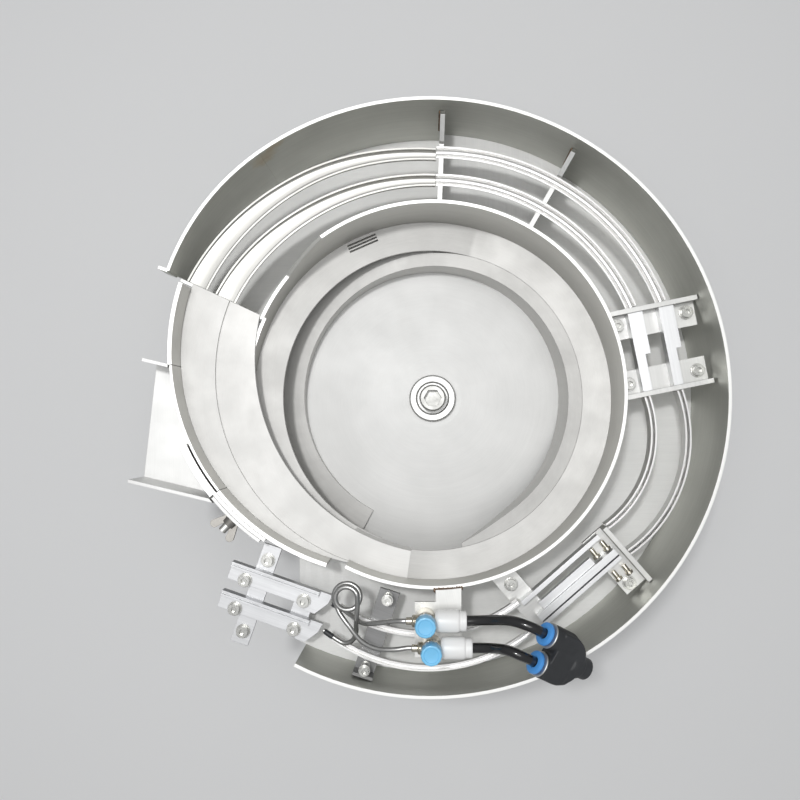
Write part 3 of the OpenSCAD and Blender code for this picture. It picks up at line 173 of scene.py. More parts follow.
def mix_colour(tree, factor, a, b):
    n = tree.nodes.new("ShaderNodeMix")
    n.data_type = "RGBA"
    for socket, v in ((n.inputs["Factor"], factor), (n.inputs["A"], a), (n.inputs["B"], b)):
        if isinstance(v, (tuple, list)):
            socket.default_value = (*v[:3], 1)
        elif isinstance(v, (int, float)):
            socket.default_value = v
        else:
            tree.links.new(v, socket)
    return n.outputs["Result"]


FINE_SCALE, COARSE_SCALE = 2600.0, 420.0
STRAIGHT_STRETCH, ROUND_STRETCH = 40.0, 0.0022


def make_grain(name, kind):
    """Directional grain of ground sheet: kind is "round", about the bowl's axis, or degrees."""
    g, gi, go = new_group(name, [("Fineness", "Float", 1.0)],
                          [("Height", "Float"), ("Tone", "Float")])
    co = g.nodes.new("ShaderNodeTexCoord").outputs["Object"]
    if kind == "round":
        sep = g.nodes.new("ShaderNodeSeparateXYZ")
        g.links.new(co, sep.inputs[0])
        x, y, z = sep.outputs
        radius = math_node(g, "SQRT", math_node(g, "ADD", math_node(g, "MULTIPLY", x, x),
                                                math_node(g, "MULTIPLY", y, y)))
        angle = math_node(g, "ARCTAN2", y, x)
        comb = g.nodes.new("ShaderNodeCombineXYZ")
        g.links.new(radius, comb.inputs[0])
        g.links.new(math_node(g, "MULTIPLY", angle, ROUND_STRETCH), comb.inputs[1])
        g.links.new(z, comb.inputs[2])
        vector = comb.outputs[0]
    else:
        m = g.nodes.new("ShaderNodeMapping")
        m.vector_type = "TEXTURE"
        m.inputs["Rotation"].default_value = (0, 0, math.radians(kind))
        m.inputs["Scale"].default_value = (1.0, STRAIGHT_STRETCH, 1.0)
        g.links.new(co, m.inputs["Vector"])
        vector = m.outputs[0]
    fineness = gi.outputs["Fineness"]
    fine = noise_node(g, vector, math_node(g, "MULTIPLY", fineness, FINE_SCALE), 2.0, 0.6)
    coarse = noise_node(g, vector, math_node(g, "MULTIPLY", fineness, COARSE_SCALE), 3.0, 0.6)
    g.links.new(fine, go.inputs["Height"])
    both = math_node(g, "ADD", math_node(g, "MULTIPLY", fine, 0.45),
                     math_node(g, "MULTIPLY", coarse, 0.55))
    g.links.new(both, go.inputs["Tone"])
    return g


# degrees that the sorting shelf, the outlet and the other brackets lie at
SORT_TURN, OUTLET_TURN, BRACKET_TURN = -51, 70, 11
grain_groups = {kind: make_grain("grain_" + str(kind).replace("-", "m"), kind)
                for kind in ("round", 0, 90, OUTLET_TURN, SORT_TURN, BRACKET_TURN)}

# cloudy marks of handling, cleaning and dust
blotch_group, gi, go = new_group("blotches", [("Size", "Float", 40.0)], [("Mask", "Float")])
co = blotch_group.nodes.new("ShaderNodeTexCoord").outputs["Object"]
clouds = noise_node(blotch_group, co, gi.outputs["Size"], 5.0, 0.62)
blotch_group.links.new(range_node(blotch_group, clouds, 0.36, 0.66), go.inputs["Mask"])

# the straw, bronze and blue that welding leaves round a point
tint_group, gi, go = new_group(
    "weld_tint", [("Centre", "Vector", (0, 0, 0)), ("Radius", "Float", 0.006),
                  ("Colour", "Color", (1, 1, 1, 1))], [("Colour", "Color")])
co = tint_group.nodes.new("ShaderNodeTexCoord").outputs["Object"]
gap = tint_group.nodes.new("ShaderNodeVectorMath")
gap.operation = "DISTANCE"
tint_group.links.new(co, gap.inputs[0])
tint_group.links.new(gi.outputs["Centre"], gap.inputs[1])
wave = math_node(tint_group, "MULTIPLY", noise_node(tint_group, co, 220.0, 2.0), 0.5)
share = math_node(tint_group, "DIVIDE", gap.outputs["Value"], gi.outputs["Radius"])
reach = math_node(tint_group, "ADD", share, math_node(tint_group, "SUBTRACT", wave, 0.25))
ramp = tint_group.nodes.new("ShaderNodeValToRGB")
stops = [(0.0, (0.62, 0.50, 0.50)), (0.25, (0.78, 0.60, 0.54)), (0.5, (0.90, 0.76, 0.64)),
         (0.75, (0.97, 0.90, 0.80)), (1.0, (1, 1, 1))]
while len(ramp.color_ramp.elements) < len(stops):
    ramp.color_ramp.elements.new(0.5)
for element, (place, rgb) in zip(ramp.color_ramp.elements, stops):
    element.position = place
    element.color = (*rgb, 1)
tint_group.links.new(reach, ramp.inputs[0])
tint = tint_group.nodes.new("ShaderNodeMix")
tint.data_type = "RGBA"
tint.blend_type = "MULTIPLY"
tint.inputs["Factor"].default_value = 1.0
tint_group.links.new(gi.outputs["Colour"], tint.inputs["A"])
tint_group.links.new(ramp.outputs[0], tint.inputs["B"])
tint_group.links.new(tint.outputs["Result"], go.inputs["Colour"])


def place_group(tree, group, **values):
    n = tree.nodes.new("ShaderNodeGroup")
    n.node_tree = group
    for label, v in values.items():
        if hasattr(v, "is_output"):
            tree.links.new(v, n.inputs[label])
        else:
            n.inputs[label].default_value = v
    return n


def new_material(name):
    m = bpy.data.materials.new(name)
    m.use_nodes = True
    return m, m.node_tree, m.node_tree.nodes["Principled BSDF"]


def bump(tree, bsdf, height, distance, strength, edge=0.0):
    """Fine relief, over edges that catch the light as if broken by edge metres."""
    n = tree.nodes.new("ShaderNodeBump")
    n.inputs["Strength"].default_value = strength
    n.inputs["Distance"].default_value = distance
    tree.links.new(height, n.inputs["Height"])
    if edge:
        bevel = tree.nodes.new("ShaderNodeBevel")
        bevel.samples = 4
        bevel.inputs["Radius"].default_value = edge
        tree.links.new(bevel.outputs[0], n.inputs["Normal"])
    tree.links.new(n.outputs[0], bsdf.inputs["Normal"])


GRAIN_DEPTH_MM, BROKEN_EDGE_MM = 0.02, 0.25


def metal(name, colour, rough, kind, fineness, spread=0.12, tone=0.16, dirt=0.12,
          tints=(), blotch=38.0, cut=0.0):
    """Ground or rolled metal with its grain, cloudy marks, weld tints and a painted highlight on
    upward faces, as much as cut asks.
    """
    m, t, b = new_material(name)
    grain = place_group(t, grain_groups[kind], Fineness=fineness)
    marks = place_group(t, blotch_group, Size=blotch)
    low = tuple(c * (1 - tone) for c in colour)
    high = tuple(min(1.0, c * (1 + tone * 0.6)) for c in colour)
    base = mix_colour(t, range_node(t, grain.outputs["Tone"], 0.32, 0.68), low, high)
    dark = tuple(c * (1 - dirt * 2) for c in colour)
    base = mix_colour(t, math_node(t, "MULTIPLY", marks.outputs["Mask"], dirt * 3), base, dark)
    for centre, radius in tints:
        n = place_group(t, tint_group, Centre=tuple(centre), Radius=radius, Colour=base)
        base = n.outputs["Colour"]
    # cut sets how far upward faces, the sheet rims among them, turn near white: a painted highlight
    # standing in for light from above
    if cut:
        facing = t.nodes.new("ShaderNodeSeparateXYZ")
        t.links.new(t.nodes.new("ShaderNodeNewGeometry").outputs["True Normal"], facing.inputs[0])
        up = range_node(t, facing.outputs["Z"], 0.9, 0.97, 0.0, cut)
        base = mix_colour(t, up, base, (0.95, 0.95, 0.93))
    t.links.new(base, b.inputs["Base Color"])
    b.inputs["Metallic"].default_value = 1.0
    streaks = range_node(t, grain.outputs["Tone"], 0.3, 0.7, rough - spread / 2, rough + spread / 2)
    r = math_node(t, "ADD", streaks, math_node(t, "MULTIPLY", marks.outputs["Mask"], spread),
                  clamp=True)
    t.links.new(r, b.inputs["Roughness"])
    bump(t, b, grain.outputs["Height"], GRAIN_DEPTH_MM * MM, 0.35, BROKEN_EDGE_MM * MM)
    return m


def moulded(name, colour, rough, coat=0.0, grain_mm=0.01, scale=1400.0, worn=0.1):
    """Moulded plastic, rubber or paint with a fine texture and cloudy wear."""
    m, t, b = new_material(name)
    co = t.nodes.new("ShaderNodeTexCoord").outputs["Object"]
    fine = noise_node(t, co, scale, 2.0)
    marks = place_group(t, blotch_group, Size=60.0)
    pale = tuple(min(1.0, c * (1 + worn * 2) + worn * 0.05) for c in colour)
    base = mix_colour(t, math_node(t, "MULTIPLY", marks.outputs["Mask"], 0.6), colour, pale)
    t.links.new(base, b.inputs["Base Color"])
    t.links.new(range_node(t, marks.outputs["Mask"], 0, 1, rough, min(1.0, rough + 0.12)),
                b.inputs["Roughness"])
    b.inputs["Coat Weight"].default_value = coat
    bump(t, b, fine, grain_mm * MM, 0.4)
    return m


# ---- finishes ------------------------------------------------------------------------

floor_mat, t, b = new_material("pale_floor")
co = t.nodes.new("ShaderNodeTexCoord").outputs["Object"]
cloud = noise_node(t, co, 3.0, 3.0)
t.links.new(mix_colour(t, cloud, (0.74, 0.745, 0.75), (0.77, 0.772, 0.775)), b.inputs["Base Color"])
b.inputs["Roughness"].default_value = 0.7

wall_tints = [(polar(171.5, 122.5, rim - 1), 0.010), (polar(169, 125.5, rim - 11), 0.014)]
# cut=0.9 paints a highlight on the bowl sheet's upward faces, its rims among them
sheet_mat = metal("bowl_sheet", (0.66, 0.655, 0.625), 0.48, "round", 1.0, spread=0.06, tone=0.07,
                  dirt=0.03, cut=0.9)
track_mat = metal("track_sheet", (0.56, 0.555, 0.54), 0.58, "round", 0.8, spread=0.05, tone=0.09,
                  dirt=0.03)
lane_mat = metal("lane_sheet", (0.68, 0.675, 0.66), 0.60, "round", 0.8, spread=0.05, tone=0.06,
                 dirt=0.03)
floor_sheet_mat = metal("bowl_floor_sheet", (0.86, 0.86, 0.85), 0.72, "round", 0.7, spread=0.05,
                        tone=0.04, dirt=0.02, blotch=26.0)
# cut=1.0 paints a highlight on the guard wall's rim and other upward faces
guard_mat = metal("guard_sheet", (0.60, 0.605, 0.565), 0.52, "round", 0.9, spread=0.06, tone=0.08,
                  dirt=0.05, tints=wall_tints, cut=1.0)
pan_mat = metal("pan_sheet", (0.95, 0.95, 0.94), 0.78, 90, 0.8, spread=0.05, tone=0.03, dirt=0.02,
                blotch=22.0)
bridge_mat = metal("bridge_sheet", (0.80, 0.80, 0.79), 0.68, 0, 0.8, spread=0.06, tone=0.06,
                   dirt=0.03, blotch=30.0)
rib_mat = metal("rib_sheet", (0.66, 0.66, 0.645), 0.42, 0, 1.0, spread=0.08, tone=0.10, dirt=0.05)
bracket_mat = metal("bracket_steel", (0.68, 0.68, 0.665), 0.46, BRACKET_TURN, 1.0, spread=0.08,
                    tone=0.10, dirt=0.05)
sort_mat = metal("sorting_steel", (0.66, 0.66, 0.645), 0.46, SORT_TURN, 1.0, spread=0.08,
                 tone=0.10, dirt=0.05)
rail_mat = metal("rail_aluminium", (0.60, 0.595, 0.57), 0.46, "round", 1.4, spread=0.06, tone=0.14,
                 dirt=0.04)
bar_mat = metal("bar_aluminium", (0.78, 0.785, 0.79), 0.42, BRACKET_TURN, 1.2, spread=0.06,
                tone=0.08, dirt=0.03)
sort_bar_mat = metal("sorting_aluminium", (0.74, 0.745, 0.75), 0.42, SORT_TURN, 1.2, spread=0.06,
                     tone=0.10, dirt=0.03)
outlet_mat = metal("outlet_aluminium", (0.62, 0.625, 0.635), 0.44, OUTLET_TURN, 0.8, spread=0.08,
                   tone=0.16, dirt=0.05)
strip_mat = metal("strip_stainless", (0.76, 0.755, 0.745), 0.36, "round", 1.2, spread=0.06,
                  tone=0.10, dirt=0.04)
strap_mat = metal("strap_steel", (0.24, 0.24, 0.24), 0.42, OUTLET_TURN, 1.0, dirt=0.12)
chute_mat = metal("chute_sheet", (0.70, 0.70, 0.69), 0.50, 0, 0.8, spread=0.06, tone=0.06,
                  dirt=0.04)
screw_mat = metal("screw_zinc", (0.52, 0.52, 0.50), 0.24, "round", 3.0, dirt=0.15, blotch=160.0)
nut_mat = metal("nut_zinc", (0.40, 0.385, 0.36), 0.36, "round", 3.0, dirt=0.15, blotch=120.0)
washer_mat = metal("washer_steel", (0.70, 0.70, 0.69), 0.46, "round", 2.0, dirt=0.05)
bolt_mat = metal("bolt_zinc", (0.56, 0.56, 0.54), 0.50, "round", 2.0, spread=0.08, dirt=0.15,
                 blotch=160.0)
nickel_mat = metal("valve_nickel", (0.74, 0.70, 0.60), 0.22, "round", 3.0, spread=0.06, dirt=0.1,
                   blotch=120.0)
pipe_mat = metal("pipe_steel", (0.52, 0.52, 0.51), 0.30, "round", 2.0, dirt=0.12)
weld_mat = metal("weld_bead", (0.34, 0.24, 0.17), 0.40, "round", 3.0, dirt=0.25, blotch=300.0)
cast_mat = moulded("cast_enamel", (0.16, 0.19, 0.22), 0.38, coat=0.3, grain_mm=0.12, scale=260.0)
clamp_mat = metal("clamp_steel", (0.45, 0.46, 0.47), 0.36, 0, 1.0, dirt=0.2)
lamination_mat = metal("lamination_steel", (0.33, 0.34, 0.35), 0.45, 90, 0.6, dirt=0.2)
copper_mat = metal("copper_winding", (0.62, 0.26, 0.11), 0.30, "round", 1.0, dirt=0.15)
rubber_mat = moulded("foot_rubber", (0.025, 0.025, 0.026), 0.62)
gland_mat = moulded("gland_nylon", (0.04, 0.04, 0.045), 0.45)
spring_mat = moulded("spring_laminate", (0.50, 0.42, 0.20), 0.35, coat=0.4, scale=500.0)
barrel_mat = moulded("barrel_plastic", (0.88, 0.88, 0.87), 0.30, coat=0.2, worn=0.02)
knob_mat = moulded("knob_plastic", (0.17, 0.52, 0.82), 0.30, coat=0.3)
ring_mat = moulded("ring_plastic", (0.07, 0.30, 0.72), 0.32, coat=0.3)
tube_mat = moulded("tube_polyurethane", (0.010, 0.010, 0.011), 0.14, coat=0.6, grain_mm=0.002)
body_mat = moulded("fitting_plastic", (0.030, 0.032, 0.035), 0.48)

finishes = {
    "rubber_feet": rubber_mat, "foot_inserts": clamp_mat, "drive_base": cast_mat,
    "cable_gland": gland_mat,
    "magnet_core": lamination_mat, "magnet_coil": copper_mat, "lower_spring_clamps": clamp_mat,
    "lower_spring_screws": screw_mat, "leaf_springs": spring_mat, "upper_spring_clamps": clamp_mat,
    "upper_spring_screws": screw_mat, "top_plate": cast_mat, "armature": lamination_mat,
    "bowl_plate": sheet_mat, "bowl_wall": sheet_mat, "bowl_floor": floor_sheet_mat,
    "center_washer": washer_mat, "center_bolt": bolt_mat, "spiral_track": track_mat,
    "upper_track": track_mat, "inner_lane": lane_mat, "outer_lane": lane_mat,
    "rear_exit_wall": sheet_mat, "middle_exit_wall": sheet_mat, "front_exit_wall": sheet_mat,
    "guard_wall": guard_mat, "return_pan": pan_mat, "pan_bridge": bridge_mat, "pan_ribs": rib_mat,
    "pan_end_plate": rib_mat, "entry_rails": rail_mat, "trough_rails": strip_mat,
    "step_brackets": bracket_mat, "step_bars": bar_mat, "inner_hanging_rail": strip_mat,
    "outer_hanging_rail": strip_mat, "sorting_brackets": sort_mat, "sorting_bars": sort_bar_mat,
    "inner_curved_rail": strip_mat, "outer_curved_rail": strip_mat, "outlet_bars": outlet_mat,
    "outlet_cross_plate": outlet_mat, "outlet_bracket": outlet_mat, "strap_plate": strap_mat,
    "tooling_screws": screw_mat, "overflow_chute": chute_mat, "gate_strip": strip_mat,
    "gate_clamp": chute_mat, "wing_nut": nut_mat, "valve_bracket": bracket_mat,
    "valve_bodies": nickel_mat, "valve_barrels": barrel_mat, "inner_valve_knob": knob_mat,
    "outer_valve_knob": knob_mat, "air_pipes": pipe_mat, "inner_air_tube": tube_mat,
    "outer_air_tube": tube_mat, "y_fitting": body_mat, "inner_release_ring": ring_mat,
    "outer_release_ring": ring_mat,
}
for name, material in finishes.items():
    nodes[name].data.materials.clear()
    nodes[name].data.materials.append(material)

bpy.ops.mesh.primitive_plane_add(size=30, location=(0, 0, 0))
floor = bpy.context.object
floor.name = "floor"
floor.data.materials.append(floor_mat)


# ---- shape helpers -------------------------------------------------------------------

def catmull_rom(points, i, s):
    """Value at share s of the way from point i to the next, on the curve through all of them."""
    n = len(points) - 1
    p0, p1, p2, p3 = points[max(i - 1, 0)], points[i], points[i + 1], points[min(i + 2, n)]
    return 0.5 * (2 * p1 + (p2 - p0) * s + (2 * p0 - 5 * p1 + 4 * p2 - p3) * s * s
                  + (3 * p1 - p0 - 3 * p2 + p3) * s ** 3)


ROUTE_STEPS = 8


def smooth_route(points):
    """Points along the curve through the given ones."""
    out = [catmull_rom(points, i, j / ROUTE_STEPS)
           for i in range(len(points) - 1) for j in range(ROUTE_STEPS)]
    out.append(points[-1].copy())
    return out


def mesh_of(bm, name):
    mesh = bpy.data.meshes.new(name)
    bm.to_mesh(mesh)
    bm.free()
    return mesh


def applied(o):
    """New mesh of an object as its modifiers leave it."""
    return bpy.data.meshes.new_from_object(o.evaluated_get(bpy.context.evaluated_depsgraph_get()))


def join_rings(bm, rings):
    """Faces between rings of vertices, all of one count, and over both ends."""
    for a, b in zip(rings, rings[1:]):
        for k in range(len(a)):
            bm.faces.new((a[k], a[(k + 1) % len(a)], b[(k + 1) % len(a)], b[k]))
    bm.faces.new(rings[0][::-1])
    bm.faces.new(rings[-1])


def frames_along(route):
    """Turning frames (side, up) carried along a route without twist."""
    side = None
    out = []
    for i, p in enumerate(route):
        t = (route[min(i + 1, len(route) - 1)] - route[max(i - 1, 0)]).normalized()
        if side is None:
            side = t.cross(Vector((0, 0, 1)))
        side = (side - t * side.dot(t)).normalized()
        out.append((side.copy(), t.cross(side).normalized()))
    return out


def add_tube(bm, route, radii, sides=20):
    join_rings(bm, [[bm.verts.new(p + r * (math.cos(a) * u + math.sin(a) * v))
                     for a in (2 * math.pi * k / sides for k in range(sides))]
                    for p, (u, v), r in zip(route, frames_along(route), radii)])


def add_turned(bm, place, profile, sides):
    """Solid of revolution about the placed Z axis from [radius, height] points in millimetres."""
    rings = []
    for r, z in profile:
        if r == 0:
            rings.append([bm.verts.new(place @ mm(0, 0, z))])
        else:
            rings.append([bm.verts.new(place @ mm(r * math.cos(a), r * math.sin(a), z))
                          for a in (2 * math.pi * k / sides for k in range(sides))])
    for a, b in zip(rings, rings[1:]):
        for k in range(sides):
            quad = [a[k % len(a)], a[(k + 1) % len(a)], b[(k + 1) % len(b)], b[k % len(b)]]
            quad = list(dict.fromkeys(quad))
            if len(quad) > 2:
                bm.faces.new(quad)


def finish_piece(bm, name, body, material, smooth_deg, slot, *replaces):
    bmesh.ops.remove_doubles(bm, verts=bm.verts, dist=1e-6)
    bmesh.ops.recalc_face_normals(bm, faces=bm.faces)
    mesh = mesh_of(bm, name)
    mesh.materials.append(material)
    for face in mesh.polygons:
        face.use_smooth = True
    mesh.set_sharp_from_angle(angle=math.radians(smooth_deg))
    piece = add_object(name, mesh)
    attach(piece, body)
    if replaces:
        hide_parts(*replaces)
    return piece


def turned_frame(origin, z_axis, x_hint=(0, 0, 1)):
    """Placement at the origin given, whose Z axis points along z_axis and X axis near x_hint."""
    z = Vector(z_axis).normalized()
    x = Vector(x_hint) - z * z.dot(Vector(x_hint))
    if x.length < 0.01:
        x = Vector((1, 0, 0)) - z * z.x
    x.normalize()
    m = Matrix((x, z.cross(x), z)).transposed().to_4x4()
    m.translation = Vector(origin)
    return m


def node_copy(name):
    """The node's mesh where it stands, with its doubled corners joined."""
    bm = bmesh.new()
    bm.from_mesh(nodes[name].data)
    bm.transform(nodes[name].matrix_world)
    bmesh.ops.remove_doubles(bm, verts=bm.verts, dist=2e-6)
    return bm


# copies of faceted nodes that shade smoothly
for name in ("spiral_track", "return_pan"):
    finish_piece(node_copy(name), name + "_smooth", "bowl", finishes[name], 30, "stainless", name)

# leaf springs cut across at even heights between base and bowl
SPRING_CUTS = 10
springs = node_copy("leaf_springs")
spring_low, spring_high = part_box("lower_spring_clamps")[1][2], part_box("upper_spring_clamps")[0][2]
for k in range(SPRING_CUTS + 1):
    height = spring_low + (spring_high - spring_low) * k / SPRING_CUTS
    bmesh.ops.bisect_plane(springs, geom=springs.verts[:] + springs.edges[:] + springs.faces[:],
                           plane_co=(0, 0, height), plane_no=(0, 0, 1))
bending = add_object("bending_springs", mesh_of(springs, "bending_springs"))
bending.data.materials.append(spring_mat)
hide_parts("leaf_springs")
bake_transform(bending)


def add_loft(bm, sections):
    """Closed body through rings of points that have the same number of corners."""
    join_rings(bm, [[bm.verts.new(p) for p in section] for section in sections])


def curve_at(points, a):
    """Value at angle a of the curve through [angle, value] points."""
    i = max(k for k in range(len(points) - 1) if points[k][0] <= a or k == 0)
    s = (a - points[i][0]) / (points[i + 1][0] - points[i][0])
    return catmull_rom([value for _, value in points], i, s)


# bowl and rail sizes in millimetres, and the degrees where the tracks and lanes start and end
WALL_IN, BAND_IN, TRACK_IN, SHEET = 115, 97, 88, 2
LANE_START, LANE_END, TRACK_START = 262, 155, 242
BAND_END, BAND_JOIN, BAND_EASE = 250, 75, 25
BAND_STEPS, RAIL_STEPS = 348, 90
BAND_BANK = 3
FLOOR_DEPTH, FLOOR_RISE, TRACK_END_DEPTH, BAND_END_DEPTH = 85, 10, 20, 38
RAIL_Z = rim - 22
RAIL_T = 1.2


def track_top(turned):
    """Height of the climbing track after a turn in degrees from its start."""
    low = rim - FLOOR_DEPTH + FLOOR_RISE * (1 - TRACK_IN / WALL_IN) + 0.45 + SHEET
    share = turned / (TRACK_START + 360 - LANE_START)
    return low + (rim - TRACK_END_DEPTH - low) * share ** 1.2


def band_top(a):
    """Height of the upper track's inner edge at an angle."""
    if a < BAND_JOIN:
        return track_top(TRACK_START - a)
    join = track_top(TRACK_START - BAND_JOIN)
    share = (BAND_END - a) / (BAND_END - BAND_JOIN)
    return rim - BAND_END_DEPTH + (join - rim + BAND_END_DEPTH) * share ** 2.2


def upper_track_skin():
    """The banked upper track, finer than its node."""
    rings = []
    first = LANE_START - 360
    for k in range(BAND_STEPS + 1):
        a = first + (BAND_END - first) * k / BAND_STEPS
        z0 = band_top(a)
        ease = min(1.0, max(0.0, (a - first) / BAND_EASE))
        z1 = z0 + BAND_BANK * ease * ease * (3 - 2 * ease)
        rings.append([polar(r, a, z) for r, z in ((BAND_IN, z0 - SHEET), (WALL_IN - 0.05, z1 - SHEET),
                                                  (WALL_IN - 0.05, z1), (BAND_IN, z0))])
    bm = bmesh.new()
    add_loft(bm, rings)
    return finish_piece(bm, "upper_track_smooth", "bowl", track_mat, 40, "stainless", "upper_track")


# three slits through the upper track
SLIT_TURN, SLIT_PITCH, SLIT_W, SLIT_LONG = 114.5, 1.97, 1.07, 20
band = upper_track_skin()
bm = bmesh.new()
turn = Matrix.Rotation(math.radians(SLIT_TURN), 4, "Z")
for i in range(3):
    for v in bmesh.ops.create_cube(bm, size=1.0)["verts"]:
        v.co = turn @ mm(WALL_IN - 7 + i * SLIT_PITCH + 0.53 + v.co.x * SLIT_W,
                         v.co.y * SLIT_LONG, rim - 40 + v.co.z * 60)
cutter = add_object("slit_cutter", mesh_of(bm, "slit_cutter"))
cut = band.modifiers.new("slits", "BOOLEAN")
cut.object = cutter
cut.operation = "DIFFERENCE"
cut.solver = "EXACT"
slit_band = applied(band)
band.modifiers.remove(cut)
band.data = slit_band
bpy.data.objects.remove(cutter)


def trough_ring(r, w, z, h, a):
    """Corners of a sheet trough with rounded bottom edges, at one angle."""
    bend = min(2.4, h * 0.62)
    inner = max(0.35, bend - RAIL_T * 0.6)

    def corner(x, y, radius, start):
        return [(x + radius * math.cos(math.radians(start + 22.5 * k)),
                 y + radius * math.sin(math.radians(start + 22.5 * k))) for k in range(5)]

    half = w / 2
    outside = ([(-half, 0)] + corner(-half + bend, -h + bend, bend, 180)
               + corner(half - bend, -h + bend, bend, 270) + [(half, 0)])
    inside = ([(-half + RAIL_T, 0)] + corner(-half + RAIL_T + inner, -h + RAIL_T + inner, inner, 180)
              + corner(half - RAIL_T - inner, -h + RAIL_T + inner, inner, 270) + [(half - RAIL_T, 0)])
    return [polar(r + x, a, z + y) for x, y in outside + inside[::-1]]


# the two entry rails: radius, width and depth by the angle along them
ENTRY_FROM, ENTRY_MID, ENTRY_TO = 89.3, 120, LANE_END - 0.1
entry_radii = ([[ENTRY_FROM, 135.3], [ENTRY_MID, 138.0], [ENTRY_TO, 143.5]],
               [[ENTRY_FROM, 151.5], [ENTRY_MID, 157.5], [ENTRY_TO, 163.0]])
entry_widths = [[ENTRY_FROM, 7.5], [ENTRY_MID, 10], [ENTRY_TO, 14]]
entry_depths = [[ENTRY_FROM, 5], [ENTRY_TO, 2.4]]
bm = bmesh.new()
for radii in entry_radii:
    rings = []
    for k in range(RAIL_STEPS + 1):
        a = ENTRY_FROM + (ENTRY_TO - ENTRY_FROM) * k / RAIL_STEPS
        rings.append(trough_ring(curve_at(radii, a), curve_at(entry_widths, a), RAIL_Z,
                                 curve_at(entry_depths, a), a))
    add_loft(bm, rings)
finish_piece(bm, "entry_rails_smooth", "bowl", rail_mat, 40, "aluminium_bar", "entry_rails")


# ---- air tubes and pipes -----------------------------------------------------------------

VALVE_X, VALVE_Y, VALVE_PITCH = -4.4, -133.4, 16.2
valve_line = math.radians(-78)
valve_spots = [mm(VALVE_X, VALVE_Y, 0),
               mm(VALVE_X + VALVE_PITCH * math.cos(valve_line),
                  VALVE_Y + VALVE_PITCH * math.sin(valve_line), 0)]
BARREL_Z = rim + 11
PORT_X, PORT_Y = (-2, 2), (8.6, -8.6)
AIR_TUBE_R = 0.003
fit_dip, fit_turn = math.radians(25), math.radians(-30)
fit_axis = Vector((math.cos(fit_dip) * math.cos(fit_turn),
                   math.cos(fit_dip) * math.sin(fit_turn), -math.sin(fit_dip)))
fit_side = Vector((-math.sin(fit_turn), math.cos(fit_turn), 0))
fit_origin = mm(60.3, -145.5, rim + 23.5)


def port_point(i, s):
    """Point on the axis of one of the fitting's ports, s millimetres in from its mouth."""
    return fit_origin + fit_axis * (PORT_X[i] + s) * MM + fit_side * PORT_Y[i] * MM


tube_bends = [[mm(32, -132, rim + 15), mm(44, -130, rim + 24.5)],
              [mm(34, -148, rim + 16), mm(42, -147, rim + 24)]]


def make_air_tube(i, name, node):
    """Air tube from inside a valve's barrel to inside the fitting's port."""
    spot = valve_spots[i]
    route = smooth_route([spot + mm(14.6, 0, BARREL_Z), spot + mm(21.6, 0, BARREL_Z),
                          *tube_bends[i], *(port_point(i, s) for s in (-10, 0, 7))])
    curve = bpy.data.curves.new(name, "CURVE")
    curve.dimensions = "3D"
    spline = curve.splines.new("POLY")
    spline.points.add(len(route) - 1)
    for point, place in zip(spline.points, route):
        point.co = (*place, 1)
    curve.bevel_depth = AIR_TUBE_R
    curve.bevel_resolution = 6
    curve.use_fill_caps = True
    curve.materials.append(tube_mat)
    piece = add_object(name, curve)
    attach(piece, "bowl")
    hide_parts(node)


make_air_tube(0, "inner_tube", "inner_air_tube")
make_air_tube(1, "outer_tube", "outer_air_tube")

COIL_X, COIL_Y = -51.5, -121.8
PIPE_R = 0.00145
TIP_RADII = [0.0017] * 6 + [0.0016, 0.0014, 0.0011]


def coil_points(first, last, step, r0, r1, z0, z1):
    """Points of the pipe's coil, (x, y, height over the rim), from one angle to another."""
    count = round((last - first) / step)
    out = []
    for k in range(count + 1):
        a = math.radians(first + step * k)
        s = k / count
        r = r0 + (r1 - r0) * s
        out.append((COIL_X + r * math.cos(a), COIL_Y + r * math.sin(a), z0 + (z1 - z0) * s))
    return out


pipe_routes = [
    [(-24, -134, 9), (-35, -136.5, 4), (-43, -138, -4), (-50, -135.5, -12),
     (-57, -132, -16.5), (-63, -129.5, -18.5)],
    [(-24, -150.5, 10), (-34, -150.5, 7), (-43, -147, 3), (-50, -140, -1), (-56, -132.5, -3)]
    + coil_points(215, -350, -35, 8.6, 6.4, -3.5, 3.6)
    + [(-45.4, -129, 1), (-46.5, -138, -4), (-47, -145, -10),
       (-49.5, -151, -14), (-55, -153.5, -16.5), (-62, -150, -17.5), (-68, -146, -18.2)]]
bm = bmesh.new()
tips = bmesh.new()
for spot, over_rim in zip(valve_spots, pipe_routes):
    route = smooth_route([spot + mm(-11, 0, BARREL_Z), spot + mm(-14, 0, BARREL_Z)]
                         + [mm(x, y, rim + z) for x, y, z in over_rim])
    add_tube(bm, route, [PIPE_R] * len(route))
    add_tube(tips, route[-len(TIP_RADII):], TIP_RADII)
finish_piece(bm, "metal_pipes", "bowl", pipe_mat, 35, "stainless_bright", "air_pipes")
finish_piece(tips, "nozzle_tips", "bowl", body_mat, 35, "black_plastic")


# ---- valves and fitting -------------------------------------------------------------------

KNOB_R, KNOB_Z, KNOB_SIDES, KNOB_POINTS = 6.25, rim + 18.2, 12, 96


